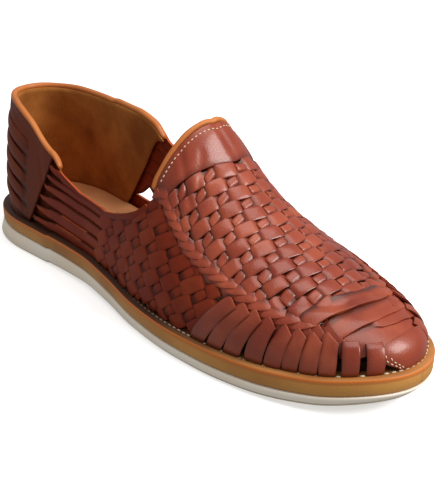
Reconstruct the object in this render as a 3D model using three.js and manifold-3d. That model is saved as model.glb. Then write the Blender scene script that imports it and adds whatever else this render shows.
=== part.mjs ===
// Woven leather huarache, a right shoe, in millimetres.
// The toe points along +X, the inner side of the foot is +Y, and the floor is z = 0.
import * as THREE from "three";
import Module from "manifold-3d";

const wasm = await Module();
wasm.setup();

// Sizes of the sole
const SOLE_LENGTH = 300;
const BALL_WIDTH = 96.3;
const HEEL_WIDTH = 66.2;
const OUTSOLE_HEEL = 8.6;
const OUTSOLE_FOREPART = 5.1;
const MIDSOLE_THICKNESS = 8.3;
const INSOLE_THICKNESS = 4;
const ARCH_LIFT = 1.3;
const TOE_SPRING = 7.3;
const SOLE_EDGE_ROUNDING = 0.9;
const SOLE_EDGE_FLARE = 1.8;
const MIDSOLE_EDGE_SWELL = 0.6;
const WELT_LEDGE = 5;

// Sizes of the upper, measured up from the feather line where it meets the sole
const INSTEP_RISE = 85;
const COLLAR_RISE = 65;
const LINING_OFFSET = 3;
const STRIP_RELIEF = 1.2;
const COUNTER_WALL = 1.5;
const TOE_CAP_WALL = 1.3;
const BINDING_WIDTH = 4.2;
const BINDING_HEIGHT = 3.4;
const WEAVE_PITCH = 11;
const BRAID_WIDTH = 7;
const BRAID_RELIEF = 0.6;
const TOE_GAP_WIDTH = 2.2;
const STRAP_GAP_WIDTH = 2;
const WEAVE_GAP_WIDTH = 2.2;
const SLIT_WIDTH = 1.8;
const FIT_GAP = 0.3;

// Places along the shoe, as shares of the sole's length
const HEEL_AXIS = 0.12;
const THROAT = 0.56;
const TOE_AXIS = 0.8267;
const TOE_TIP_SHIFT = 0.031;

// Length of the outline round the heel and the toe for each length along the axis there
const HEEL_ARC = 1.42;
const TOE_ARC = 1.5;

// Rows of the weave from the feather line to the braid, and from the braid to the ridge
const SIDE_ROWS = 5;
const PANEL_ROWS = 4;
const ROWS = SIDE_ROWS + 1 + PANEL_ROWS;
const PAD_INSET = 0.16;

// Half widths of the sole on either side of the straight axis, as shares of the named width
const OUTER_WIDTHS = [
  { along: 0.16, size: HEEL_WIDTH, width: 0.5015 },
  { along: 0.25, size: HEEL_WIDTH, width: 0.5015 },
  { along: 0.35, size: HEEL_WIDTH, width: 0.511 },
  { along: 0.45, size: BALL_WIDTH, width: 0.397 },
  { along: 0.55, size: BALL_WIDTH, width: 0.459 },
  { along: 0.65, size: BALL_WIDTH, width: 0.486 },
];
const INNER_WIDTHS = [
  { along: 0.16, size: HEEL_WIDTH, width: 0.4985 },
  { along: 0.25, size: HEEL_WIDTH, width: 0.461 },
  { along: 0.35, size: HEEL_WIDTH, width: 0.412 },
  { along: 0.45, size: BALL_WIDTH, width: 0.289 },
  { along: 0.55, size: BALL_WIDTH, width: 0.358 },
  { along: 0.633, size: BALL_WIDTH, width: 0.452 },
  { along: 0.727, size: BALL_WIDTH, width: 0.514 },
];
const HEEL_ROUNDNESS = 2.1;
const OUTER_TOE_ROUNDNESS = 2.15;
const INNER_TOE_ROUNDNESS = 1.95;

// The underside of the sole, as shares: the heel's breast and arch, the toe spring, and how far
// the bottom edge flares out past the sole's outline or is drawn in under it
const UNDERSIDE = [
  { along: 0, arch: 0, spring: 0, flare: 1 },
  { along: 0.1, arch: 0, spring: 0, flare: 1 },
  { along: 0.24, arch: 0, spring: 0, flare: 0.35 },
  { along: 0.25, arch: 0.6, spring: 0, flare: 0.3 },
  { along: 0.4, arch: 1, spring: 0, flare: 0 },
  { along: 0.6, arch: 0, spring: 0, flare: 0 },
  { along: 0.71, arch: 0, spring: 0, flare: 0 },
  { along: 0.8, arch: 0, spring: 0.09, flare: 0 },
  { along: 0.9, arch: 0, spring: 0.43, flare: -0.4 },
  { along: 1, arch: 0, spring: 1, flare: -1.6 },
];

// How far the upper stands in from the sole's edge, as shares of the ledge
const LEDGE = [
  { along: 0, inset: 0.9 },
  { along: 0.133, inset: 0.8 },
  { along: 0.367, inset: 0.7 },
  { along: 0.667, inset: 0.9 },
  { along: 1, inset: 1 },
];

// Half sections of the last. ridge is the height over the feather line as a share of the instep,
// bulge the swell of the wall as a share of the ball width, lift and crown the pull of the
// section's two inner control points toward upright and toward flat. shift is the ridge's place
// toward the inner side, as a share of the ball width.
const SECTIONS = [
  { along: 0.12, ridge: 1.448, bulge: 0.003, lift: 0.38, crown: 0.45, shift: 0 },
  { along: 0.233, ridge: 1.402, bulge: 0.005, lift: 0.42, crown: 0.45, shift: 0 },
  { along: 0.333, ridge: 1.33, bulge: 0.01, lift: 0.42, crown: 0.42, shift: 0 },
  { along: 0.433, ridge: 1.244, bulge: 0.016, lift: 0.42, crown: 0.42, shift: 0 },
  { along: 0.5, ridge: 1.147, bulge: 0.021, lift: 0.45, crown: 0.46, shift: 0 },
  { along: 0.583, ridge: 0.992, bulge: 0.031, lift: 0.51, crown: 0.5, shift: 0.005 },
  { along: 0.623, ridge: 0.82, bulge: 0.033, lift: 0.52, crown: 0.46, shift: 0.008 },
  { along: 0.667, ridge: 0.672, bulge: 0.036, lift: 0.53, crown: 0.44, shift: 0.01 },
  { along: 0.75, ridge: 0.488, bulge: 0.031, lift: 0.58, crown: 0.48, shift: 0.016 },
  { along: 0.817, ridge: 0.382, bulge: 0.026, lift: 0.61, crown: 0.52, shift: 0.02 },
  { along: 0.883, ridge: 0.29, bulge: 0.021, lift: 0.58, crown: 0.51, shift: 0.021 },
];

// Height of the topline over the feather line on each side, as shares of the collar's rise
const TOPLINE = [
  { along: 0, outer: 1, inner: 1 },
  { along: 0.1, outer: 0.98, inner: 1 },
  { along: 0.167, outer: 0.885, inner: 1 },
  { along: 0.217, outer: 0.746, inner: 1 },
  { along: 0.263, outer: 0.638, inner: 1 },
  { along: 0.287, outer: 0.53, inner: 1 },
  { along: 0.323, outer: 0.5, inner: 1 },
  { along: 0.373, outer: 0.485, inner: 0.94 },
  { along: 0.393, outer: 0.483, inner: 0.834 },
  { along: 0.427, outer: 0.49, inner: 0.777 },
  { along: 0.5, outer: 0.597, inner: 0.77 },
  { along: 0.55, outer: 0.737, inner: 0.79 },
  { along: 0.56, outer: 0.8, inner: 0.8 },
];

// Lower edge of the braid on each side, as a share of the way from feather line to ridge
const BRAID = [
  { along: 0.56, outer: 0.42, inner: 0.42 },
  { along: 0.667, outer: 0.36, inner: 0.4 },
  { along: 0.82, outer: 0.35, inner: 0.44 },
  { along: 0.93, outer: 0.36, inner: 0.47 },
  { along: 1, outer: 0.44, inner: 0.44 },
];

// Where the toe straps start, the plain band behind them ends and the quarter straps end
const TOE_STRAPS = 0.72;
const TONGUE_COLUMNS = 2;
const TOE_CAP_COLUMNS = 1.7;
const TOE_CAP_ROWS = 4.2;
const QUARTER_END = 0.4;

// Lean of the weave's columns, in columns, over the height of the wall
const THROAT_LEAN = 0.65;
const COUNTER_LEAN = 3.2;
const COUNTER_COLUMNS = 2;
const FLAP_COLUMNS = 8;
const LEAN_FADE = 7;

// Monotone curve through a table's rows, held level past both ends
function curve(rows, value) {
  const at = rows.map((row) => row.along * SOLE_LENGTH);
  const y = rows.map(value);
  const step = at.slice(1).map((x, k) => x - at[k]);
  const rise = step.map((h, k) => (y[k + 1] - y[k]) / h);
  const slope = y.map((_, k) => {
    if (k === 0 || k === y.length - 1) return 0;
    if (rise[k - 1] * rise[k] <= 0) return 0;
    const before = 2 * step[k] + step[k - 1];
    const after = step[k] + 2 * step[k - 1];
    return (before + after) / (before / rise[k - 1] + after / rise[k]);
  });
  return (x) => {
    if (x <= at[0]) return y[0];
    if (x >= at[at.length - 1]) return y[y.length - 1];
    const k = at.findIndex((end) => end > x) - 1;
    const s = (x - at[k]) / step[k];
    const start = (1 + 2 * s) * (1 - s) ** 2 * y[k] + s * (1 - s) ** 2 * step[k] * slope[k];
    const end = s * s * (3 - 2 * s) * y[k + 1] + s * s * (s - 1) * step[k] * slope[k + 1];
    return start + end;
  };
}

function smoothStep(s) {
  const clamped = THREE.MathUtils.clamp(s, 0, 1);
  return clamped * clamped * (3 - 2 * clamped);
}

const outerWidth = curve(OUTER_WIDTHS, (row) => row.width * row.size);
const innerWidth = curve(INNER_WIDTHS, (row) => row.width * row.size);
const archShare = curve(UNDERSIDE, (row) => row.arch);
const springShare = curve(UNDERSIDE, (row) => row.spring);
const edgeFlare = curve(UNDERSIDE, (row) => row.flare * SOLE_EDGE_FLARE);
const ledgeInset = curve(LEDGE, (row) => row.inset * WELT_LEDGE);
const ridgeRise = curve(SECTIONS, (row) => row.ridge * INSTEP_RISE);
const wallBulge = curve(SECTIONS, (row) => row.bulge * BALL_WIDTH);
const wallLift = curve(SECTIONS, (row) => row.lift);
const wallCrown = curve(SECTIONS, (row) => row.crown);
const ridgeShift = curve(SECTIONS, (row) => row.shift * BALL_WIDTH);
const outerTopline = curve(TOPLINE, (row) => row.outer * COLLAR_RISE);
const innerTopline = curve(TOPLINE, (row) => row.inner * COLLAR_RISE);
const outerBraid = curve(BRAID, (row) => row.outer);
const innerBraid = curve(BRAID, (row) => row.inner);

const heelAxisX = HEEL_AXIS * SOLE_LENGTH;
const throatX = THROAT * SOLE_LENGTH;
const toeAxisX = TOE_AXIS * SOLE_LENGTH;
const toeTipY = TOE_TIP_SHIFT * BALL_WIDTH;

// Half width of the sole at x on the outer or inner side
function halfWidth(x, inner) {
  const table = inner ? INNER_WIDTHS : OUTER_WIDTHS;
  const width = inner ? innerWidth : outerWidth;
  const roundness = inner ? INNER_TOE_ROUNDNESS : OUTER_TOE_ROUNDNESS;
  const tip = inner ? toeTipY : -toeTipY;
  const heelEnd = table[0].along * SOLE_LENGTH;
  const toeStart = table[table.length - 1].along * SOLE_LENGTH;
  if (x < heelEnd) {
    const back = (heelEnd - x) / heelEnd;
    return width(heelEnd) * Math.max(1 - back ** HEEL_ROUNDNESS, 0) ** (1 / HEEL_ROUNDNESS);
  }
  if (x > toeStart) {
    const front = Math.min((x - toeStart) / (SOLE_LENGTH - toeStart), 1);
    return tip + (width(toeStart) - tip) * (1 - front ** roundness) ** (1 / roundness);
  }
  return width(x);
}

// Columns run round the shoe: heel back, outer side, toe tip, inner side and back to the heel
const heelColumns = Math.round((heelAxisX * HEEL_ARC) / WEAVE_PITCH);
const quarterColumns = Math.round((throatX - heelAxisX) / WEAVE_PITCH);
const vampColumns = Math.round((toeAxisX - throatX) / WEAVE_PITCH);
const toeColumns = Math.round(((SOLE_LENGTH - toeAxisX) * TOE_ARC) / WEAVE_PITCH);
const throatColumn = heelColumns + quarterColumns;
const toeAxisColumn = throatColumn + vampColumns;
const sideColumns = toeAxisColumn + toeColumns;
const COLUMNS = 2 * sideColumns;
const counterColumn = heelColumns + COUNTER_COLUMNS;

// Which side a column is on, and its count from the heel on that side
function fromHeel(column) {
  const turn = ((column % COLUMNS) + COLUMNS) % COLUMNS;
  const inner = turn > sideColumns;
  return { inner, count: inner ? COLUMNS - turn : turn };
}

// Distance along the shoe of a column counted from the heel
function columnX(count) {
  if (count < heelColumns) {
    return heelAxisX * (1 - Math.cos(((Math.PI / 2) * count) / heelColumns));
  }
  if (count < throatColumn) {
    return heelAxisX + ((throatX - heelAxisX) * (count - heelColumns)) / quarterColumns;
  }
  if (count < toeAxisColumn) {
    return throatX + ((toeAxisX - throatX) * (count - throatColumn)) / vampColumns;
  }
  const turn = (count - toeAxisColumn) / toeColumns;
  return toeAxisX + (SOLE_LENGTH - toeAxisX) * Math.sin((Math.PI / 2) * turn);
}

// Lean of a column toward the toe at the top of the side wall, in columns
function columnLean(count) {
  if (count <= counterColumn) return (COUNTER_LEAN * count) / counterColumn;
  if (count <= counterColumn + LEAN_FADE) {
    return COUNTER_LEAN * (1 - (count - counterColumn) / LEAN_FADE);
  }
  return 0;
}

function edgePoint(column) {
  const { inner, count } = fromHeel(column);
  const x = columnX(count);
  const y = halfWidth(x, inner);
  return new THREE.Vector2(x, inner ? y : -y);
}

const DIFFERENCE = 0.02;

// Point on the sole's outline, moved inward by an inset
function outlinePoint(column, inset) {
  const point = edgePoint(column);
  const along = edgePoint(column + DIFFERENCE).sub(edgePoint(column - DIFFERENCE)).normalize();
  return point.add(new THREE.Vector2(-along.y, along.x).multiplyScalar(inset));
}

function floorLift(x) {
  return archShare(x) * ARCH_LIFT + springShare(x) * TOE_SPRING;
}

function outsoleTop(x) {
  const blend = smoothStep((x / SOLE_LENGTH - 0.2) / 0.45);
  return floorLift(x) + THREE.MathUtils.lerp(OUTSOLE_HEEL, OUTSOLE_FOREPART, blend);
}

function featherHeight(x) {
  return outsoleTop(x) + MIDSOLE_THICKNESS;
}

// Point on the surface of the last. share is 0 at the feather line and 1 on the ridge.
function lastPoint(column, share) {
  const edge = edgePoint(column);
  const feather = outlinePoint(column, ledgeInset(edge.x));
  const out = outlinePoint(column, -1).sub(edge);
  const axisX = THREE.MathUtils.clamp(edge.x, heelAxisX, toeAxisX);
  const axisY = ridgeShift(axisX);
  const base = featherHeight(feather.x);
  const top = featherHeight(axisX) + ridgeRise(axisX);
  const slope = ridgeSlope(axisX);
  const crown = wallCrown(edge.x);
  const swell = wallBulge(edge.x);
  const shoulderX = axisX + crown * (feather.x - axisX);
  const shoulderY = axisY + crown * (feather.y - axisY);
  const curvePoints = [
    new THREE.Vector3(feather.x, feather.y, base),
    new THREE.Vector3(
      feather.x + out.x * swell,
      feather.y + out.y * swell,
      base + wallLift(edge.x) * (top - base),
    ),
    new THREE.Vector3(shoulderX, shoulderY, top + slope * (shoulderX - axisX)),
    new THREE.Vector3(axisX, axisY, top),
  ];
  return new THREE.CubicBezierCurve3(...curvePoints).getPoint(share);
}

function ridgeSlope(x) {
  const ahead = featherHeight(x + 1) + ridgeRise(x + 1);
  const behind = featherHeight(x - 1) + ridgeRise(x - 1);
  return (ahead - behind) / 2;
}

function lastNormal(column, share) {
  if (share > 0.999) {
    const axisX = THREE.MathUtils.clamp(edgePoint(column).x, heelAxisX, toeAxisX);
    return new THREE.Vector3(-ridgeSlope(axisX), 0, 1).normalize();
  }
  const low = Math.max(share - DIFFERENCE, 0);
  const high = Math.min(share + DIFFERENCE, 1);
  const up = lastPoint(column, high).sub(lastPoint(column, low));
  const ahead = lastPoint(column + DIFFERENCE, share);
  const along = ahead.sub(lastPoint(column - DIFFERENCE, share));
  return along.cross(up).normalize();
}

// Share of the section at which the wall reaches a height over the feather line
function shareAtHeight(column, height) {
  const base = lastPoint(column, 0).z;
  let low = 0;
  let high = 1;
  for (let k = 0; k < 24; k += 1) {
    const middle = (low + high) / 2;
    if (lastPoint(column, middle).z - base < height) low = middle;
    else high = middle;
  }
  return low;
}

// Share of the section at the top of the side wall: the topline, or the braid's lower edge
function sideTop(column) {
  const { inner, count } = fromHeel(column);
  const x = columnX(count);
  const braid = (inner ? innerBraid : outerBraid)(x);
  if (count >= throatColumn + 1) return braid;
  const height = (inner ? innerTopline : outerTopline)(x);
  const topline = shareAtHeight(column, height);
  return THREE.MathUtils.lerp(topline, braid, THREE.MathUtils.clamp(count - throatColumn, 0, 1));
}

// Column and share on the last of a crossing in the weave's grid
function gridPlace(column, row) {
  const { inner, count } = fromHeel(column);
  const height = Math.min(row / SIDE_ROWS, 1);
  let shift = columnLean(count) * height;
  if (row > SIDE_ROWS && count < toeAxisColumn) {
    const ahead = (toeAxisColumn - count) / vampColumns;
    shift += (THROAT_LEAN * ahead * (row - SIDE_ROWS)) / (ROWS - SIDE_ROWS);
  }
  const place = column + (inner ? -shift : shift);
  if (row <= SIDE_ROWS) {
    const full = column + (inner ? -1 : 1) * columnLean(count);
    return { place, share: sideTop(full) * height };
  }
  const braidLow = sideTop(place);
  const braidHigh = braidLow + BRAID_WIDTH / sectionLength(place);
  if (row <= SIDE_ROWS + 1) {
    return { place, share: THREE.MathUtils.lerp(braidLow, braidHigh, row - SIDE_ROWS) };
  }
  return { place, share: THREE.MathUtils.lerp(braidHigh, 1, (row - SIDE_ROWS - 1) / PANEL_ROWS) };
}

function sectionLength(column) {
  const steps = 8;
  let length = 0;
  for (let k = 0; k < steps; k += 1) {
    length += lastPoint(column, k / steps).distanceTo(lastPoint(column, (k + 1) / steps));
  }
  return length;
}

// Point at an offset from the last. The wall's foot is level, just above the sole.
function offsetPoint(column, share, offset) {
  const point = lastPoint(column, share);
  const moved = point.clone().addScaledVector(lastNormal(column, share), offset);
  if (share < 1e-6) moved.z = featherHeight(moved.x) + FIT_GAP;
  return moved;
}

function wallPoint(column, row, offset) {
  const { place, share } = gridPlace(column, row);
  return offsetPoint(place, share, offset);
}

// Closed geometry from a list of triangles, with equal corners merged
function weld(triangles) {
  const index = new Map();
  const positions = [];
  const faces = [];
  const indexOf = (point) => {
    const key = [point.x, point.y, point.z].map((value) => Math.round(value * 5000)).join();
    if (!index.has(key)) {
      index.set(key, positions.length / 3);
      positions.push(point.x, point.y, point.z);
    }
    return index.get(key);
  };
  for (const triangle of triangles) {
    const [a, b, c] = triangle.map(indexOf);
    if (a !== b && b !== c && c !== a) faces.push(a, b, c);
  }
  const geometry = new THREE.BufferGeometry();
  geometry.setAttribute("position", new THREE.Float32BufferAttribute(positions, 3));
  geometry.setIndex(faces);
  return geometry;
}

function quad(list, a, b, c, d) {
  list.push([a, b, c], [a, c, d]);
}

// Slab between levels of the sole's outline, each with an inset and a height along the shoe
const SOLE_STEPS = 76;
function slab(levels) {
  const triangles = [];
  const loops = levels.map(({ inset, height }) =>
    Array.from({ length: SOLE_STEPS }, (_, k) => {
      const column = (k * COLUMNS) / SOLE_STEPS;
      const point = outlinePoint(column, inset(edgePoint(column).x));
      return new THREE.Vector3(point.x, point.y, height(point.x));
    }),
  );
  for (let level = 0; level < loops.length - 1; level += 1) {
    for (let k = 0; k < SOLE_STEPS; k += 1) {
      const next = (k + 1) % SOLE_STEPS;
      quad(triangles, loops[level][k], loops[level][next], loops[level + 1][next], loops[level + 1][k]);
    }
  }
  const bottom = loops[0];
  const top = loops[loops.length - 1];
  for (let k = 0; k < SOLE_STEPS / 2; k += 1) {
    const far = (SOLE_STEPS - k) % SOLE_STEPS;
    quad(triangles, bottom[k], bottom[far], bottom[far - 1] ?? bottom[SOLE_STEPS - 1], bottom[k + 1]);
    quad(triangles, top[k], top[k + 1], top[far - 1] ?? top[SOLE_STEPS - 1], top[far]);
  }
  return weld(triangles);
}

function outsole() {
  return slab([
    { inset: (x) => SOLE_EDGE_ROUNDING - edgeFlare(x), height: floorLift },
    { inset: (x) => -edgeFlare(x), height: (x) => floorLift(x) + SOLE_EDGE_ROUNDING },
    { inset: () => 0, height: outsoleTop },
  ]);
}

function midsole() {
  const middle = (x) => outsoleTop(x) + MIDSOLE_THICKNESS / 2;
  const rim = () => MIDSOLE_EDGE_SWELL;
  return slab([
    { inset: rim, height: (x) => outsoleTop(x) + FIT_GAP },
    { inset: () => 0, height: middle },
    { inset: rim, height: featherHeight },
  ]);
}

function insole() {
  const inset = (x) => ledgeInset(x) + LINING_OFFSET + 2 * FIT_GAP;
  return slab([
    { inset, height: (x) => featherHeight(x) + FIT_GAP },
    { inset, height: (x) => featherHeight(x) + FIT_GAP + INSOLE_THICKNESS },
  ]);
}

// Name of the strip or pad that a cell of the grid belongs to, or null where the upper is open.
// Cells with one name join smoothly, and a groove runs between two names.
function stripName(column, row) {
  const { inner, count } = fromHeel(column + 0.5);
  const cell = Math.floor(count);
  const x = columnX(count);
  if (row >= SIDE_ROWS && cell < throatColumn) return null;
  if (row < 0 || row >= ROWS) return null;
  if (row < SIDE_ROWS) {
    if (cell < counterColumn) return "heel";
    if (x < QUARTER_END * SOLE_LENGTH) return `quarter ${inner} ${row}`;
    if (cell >= sideColumns - 2) return "toe";
    if (x > TOE_STRAPS * SOLE_LENGTH) return `toe strap ${inner} ${cell}`;
    return `side ${inner} ${cell} ${row}`;
  }
  if (row === SIDE_ROWS) return `braid ${inner} ${cell}`;
  if (cell < throatColumn + TONGUE_COLUMNS) return "tongue";
  return `panel ${inner} ${cell} ${row}`;
}

// The cell beyond the ridge is the same column on the other side
function neighbour(column, row) {
  if (row < ROWS) return stripName(column, row);
  return stripName(COLUMNS - 1 - column, ROWS - 1);
}

function covered(column) {
  return fromHeel(column).count <= counterColumn + 1e-6;
}

function grooveOffset(column) {
  return covered(column) ? -(COUNTER_WALL + FIT_GAP) : -STRIP_RELIEF;
}

function crownOffset(column, row) {
  if (covered(column)) return -(COUNTER_WALL + FIT_GAP);
  return row >= SIDE_ROWS && row <= SIDE_ROWS + 1 ? BRAID_RELIEF : 0;
}

// One cell of the woven wall: its raised face, the slopes to its grooves, its lining and rims
function weaveCell(triangles, column, row) {
  const name = stripName(column, row);
  if (name === null) return;
  const corners = [
    [column, row],
    [column + 1, row],
    [column + 1, row + 1],
    [column, row + 1],
  ];
  const beyond = [
    neighbour(column, row - 1),
    neighbour(column + 1, row),
    neighbour(column, row + 1),
    neighbour(column - 1, row),
  ];
  const joined = beyond.map((other) => other === name);
  const low = corners.map(([c, r]) => wallPoint(c, r, grooveOffset(c)));
  const lining = corners.map(([c, r]) => wallPoint(c, r, -LINING_OFFSET));
  const left = column + (joined[3] ? 0 : PAD_INSET);
  const right = column + 1 - (joined[1] ? 0 : PAD_INSET);
  const bottom = row + (joined[0] ? 0 : PAD_INSET);
  const top = row + 1 - (joined[2] ? 0 : PAD_INSET);
  const raised = [
    [left, bottom],
    [right, bottom],
    [right, top],
    [left, top],
  ].map(([c, r]) => wallPoint(c, r, crownOffset(c, r)));
  quad(triangles, ...raised);
  quad(triangles, lining[0], lining[3], lining[2], lining[1]);
  for (let k = 0; k < 4; k += 1) {
    const next = (k + 1) % 4;
    if (!joined[k]) quad(triangles, low[k], low[next], raised[next], raised[k]);
    if (beyond[k] === null) quad(triangles, low[next], low[k], lining[k], lining[next]);
  }
}

// Solid with merged corners for joins and cuts, and back to a geometry
function toSolid(geometry) {
  const mesh = new wasm.Mesh({
    numProp: 3,
    vertProperties: new Float32Array(geometry.attributes.position.array),
    triVerts: new Uint32Array(geometry.index.array),
  });
  return new wasm.Manifold(mesh);
}

function toGeometry(solid) {
  const mesh = solid.getMesh();
  const geometry = new THREE.BufferGeometry();
  geometry.setAttribute("position", new THREE.Float32BufferAttribute(mesh.vertProperties, 3));
  geometry.setIndex(Array.from(mesh.triVerts));
  return geometry;
}

// Cutter that follows the wall along places on the last, from inside the lining to outside
const CUT_INSIDE = -6;
const CUT_OUTSIDE = 3;
function slotCutter(places, width) {
  const sections = places.map(({ column, share }, k) => {
    const before = places[Math.max(k - 1, 0)];
    const after = places[Math.min(k + 1, places.length - 1)];
    const start = lastPoint(before.column, before.share);
    const along = lastPoint(after.column, after.share).sub(start);
    const normal = lastNormal(column, share);
    const side = along.cross(normal).normalize().multiplyScalar(width / 2);
    const corner = (sign, offset) =>
      lastPoint(column, share).addScaledVector(normal, offset).addScaledVector(side, sign);
    return [corner(1, CUT_INSIDE), corner(1, CUT_OUTSIDE), corner(-1, CUT_OUTSIDE), corner(-1, CUT_INSIDE)];
  });
  const triangles = [];
  for (let k = 0; k < sections.length - 1; k += 1) {
    for (let side = 0; side < 4; side += 1) {
      const next = (side + 1) % 4;
      quad(triangles, sections[k][side], sections[k][next], sections[k + 1][next], sections[k + 1][side]);
    }
  }
  quad(triangles, ...sections[0].slice().reverse());
  quad(triangles, ...sections[sections.length - 1]);
  return outward(weld(triangles));
}

function outward(geometry) {
  const solid = toSolid(geometry);
  if (solid.volume() > 0) return solid;
  const index = geometry.index.array;
  for (let k = 0; k < index.length; k += 3) {
    [index[k], index[k + 1]] = [index[k + 1], index[k]];
  }
  return toSolid(geometry);
}

// Places on the last along a straight line in the grid
function gridLine(from, to, steps) {
  return Array.from({ length: steps + 1 }, (_, k) => {
    const column = THREE.MathUtils.lerp(from[0], to[0], k / steps);
    const row = THREE.MathUtils.lerp(from[1], to[1], k / steps);
    const { place, share } = gridPlace(column, row);
    return { column: place, share };
  });
}

// The same line on both sides of the shoe
function onBothSides(from, to, steps) {
  const mirror = ([column, row]) => [COLUMNS - column, row];
  return [gridLine(from, to, steps), gridLine(mirror(from), mirror(to), steps)];
}

// Gaps between the upright straps round the toe
function toeGaps() {
  const first = Math.ceil(throatColumn + ((TOE_STRAPS - THROAT) / (TOE_AXIS - THROAT)) * vampColumns);
  const gaps = [];
  for (let column = first; column <= sideColumns - 2; column += 1) {
    for (const line of onBothSides([column, 0.35], [column, 3.6], 2)) {
      gaps.push(slotCutter(line, TOE_GAP_WIDTH));
    }
  }
  return gaps;
}

// Long gaps between the quarter straps, ahead of the heel counter
function quarterGaps() {
  const gaps = [];
  for (let row = 1; row < SIDE_ROWS; row += 1) {
    const start = counterColumn + 0.5;
    const end = counterColumn + 4.6 + 0.5 * row;
    for (const line of onBothSides([start, row], [end, row], 4)) {
      gaps.push(slotCutter(line, STRAP_GAP_WIDTH));
    }
  }
  return gaps;
}

// Small gaps where four pads of the vamp's weave meet
function weaveGaps() {
  const gaps = [];
  const reach = (WEAVE_GAP_WIDTH / WEAVE_PITCH) * 0.5;
  for (let column = throatColumn + TONGUE_COLUMNS + 1; column < toeAxisColumn; column += 1) {
    for (let row = SIDE_ROWS + 2; row < ROWS; row += 1) {
      for (const line of onBothSides([column - reach, row], [column + reach, row], 1)) {
        gaps.push(slotCutter(line, WEAVE_GAP_WIDTH));
      }
    }
  }
  return gaps;
}

function upper() {
  const triangles = [];
  for (let column = 0; column < COLUMNS; column += 1) {
    for (let row = 0; row < ROWS; row += 1) {
      weaveCell(triangles, column, row);
    }
  }
  const cutters = [...toeGaps(), ...quarterGaps(), ...weaveGaps()];
  return toGeometry(toSolid(weld(triangles)).subtract(wasm.Manifold.union(cutters)));
}

// Shell over the upper from one column to another, between two offsets.
// edges(rise) gives the shell's first and last column at a rise from 0 to its top row.
function overlay({ steps, rows, topRow, edges, inside, outside }) {
  const triangles = [];
  const layer = (offset) =>
    Array.from({ length: rows + 1 }, (_, r) => {
      const row = (topRow * r) / rows;
      const [first, last] = edges(row);
      return Array.from({ length: steps + 1 }, (_, k) =>
        wallPoint(THREE.MathUtils.lerp(first, last, k / steps), row, offset),
      );
    });
  const near = layer(inside);
  const far = layer(outside);
  for (let r = 0; r < rows; r += 1) {
    for (let k = 0; k < steps; k += 1) {
      quad(triangles, far[r][k], far[r][k + 1], far[r + 1][k + 1], far[r + 1][k]);
      quad(triangles, near[r][k], near[r + 1][k], near[r + 1][k + 1], near[r][k + 1]);
    }
    quad(triangles, near[r][0], far[r][0], far[r + 1][0], near[r + 1][0]);
    quad(triangles, far[r][steps], near[r][steps], near[r + 1][steps], far[r + 1][steps]);
  }
  for (let k = 0; k < steps; k += 1) {
    quad(triangles, near[0][k], near[0][k + 1], far[0][k + 1], far[0][k]);
    quad(triangles, far[rows][k], far[rows][k + 1], near[rows][k + 1], near[rows][k]);
  }
  return weld(triangles);
}

// Slanted slits in the counter through which the quarter straps are threaded
function counterSlits() {
  const slits = [];
  for (const column of [2.2, 4]) {
    for (let row = 0.8; row < SIDE_ROWS - 0.8; row += 1) {
      for (const line of onBothSides([column, row + 0.35], [column + 0.9, row - 0.1], 1)) {
        slits.push(slotCutter(line, SLIT_WIDTH));
      }
    }
  }
  return slits;
}

function heelCounter() {
  const shell = overlay({
    steps: 2 * counterColumn,
    rows: SIDE_ROWS,
    topRow: SIDE_ROWS,
    edges: () => [-counterColumn, counterColumn],
    inside: -COUNTER_WALL,
    outside: 0,
  });
  return toGeometry(toSolid(shell).subtract(wasm.Manifold.union(counterSlits())));
}

// Leaf of plain leather over the tip of the toe
function toeCap() {
  const width = (row) => TOE_CAP_COLUMNS * (0.6 + 0.4 * Math.sin(Math.PI * (row / TOE_CAP_ROWS)));
  return overlay({
    steps: 6,
    rows: 5,
    topRow: TOE_CAP_ROWS,
    edges: (row) => [sideColumns - width(row), sideColumns + width(row)],
    inside: FIT_GAP,
    outside: FIT_GAP + TOE_CAP_WALL,
  });
}

// Rolled edge that follows a line of the grid just above the wall's rim
function binding(crossings) {
  const sides = 8;
  const centres = crossings.map(({ column, row, up }) => {
    const { place, share } = gridPlace(column, row);
    const normal = lastNormal(place, share);
    const lift = up(place, share);
    const point = offsetPoint(place, share, -LINING_OFFSET / 2);
    return { point: point.addScaledVector(lift, FIT_GAP + BINDING_HEIGHT / 2), normal, lift };
  });
  const rings = centres.map(({ point, normal, lift }) =>
    Array.from({ length: sides }, (_, k) => {
      const turn = (2 * Math.PI * (k + 0.5)) / sides;
      return point
        .clone()
        .addScaledVector(normal, (Math.cos(turn) * BINDING_WIDTH) / 2)
        .addScaledVector(lift, (Math.sin(turn) * BINDING_HEIGHT) / 2);
    }),
  );
  const triangles = [];
  for (let k = 0; k < rings.length - 1; k += 1) {
    for (let side = 0; side < sides; side += 1) {
      const next = (side + 1) % sides;
      quad(triangles, rings[k][side], rings[k][next], rings[k + 1][next], rings[k + 1][side]);
    }
  }
  for (const [ring, flip] of [[rings[0], true], [rings[rings.length - 1], false]]) {
    for (let side = 1; side < sides - 1; side += 1) {
      const fan = [ring[0], ring[side], ring[side + 1]];
      triangles.push(flip ? fan.reverse() : fan);
    }
  }
  return toGeometry(outward(weld(triangles)));
}

function upTheWall(column, share) {
  return lastPoint(column, share).sub(lastPoint(column, share - DIFFERENCE)).normalize();
}

function behindTheVamp(column, share) {
  const { inner } = fromHeel(column);
  const along = lastPoint(column - DIFFERENCE, share).sub(lastPoint(column, share));
  return inner && share < 0.999 ? along.negate().normalize() : along.normalize();
}

// Binding round the collar, from the front of the inner flap to the outer counter's front
function collarBinding() {
  const first = -(counterColumn + FLAP_COLUMNS);
  const columns = Array.from({ length: counterColumn - first + 1 }, (_, k) => first + k);
  return binding(columns.map((column) => ({ column, row: SIDE_ROWS, up: upTheWall })));
}

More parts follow.
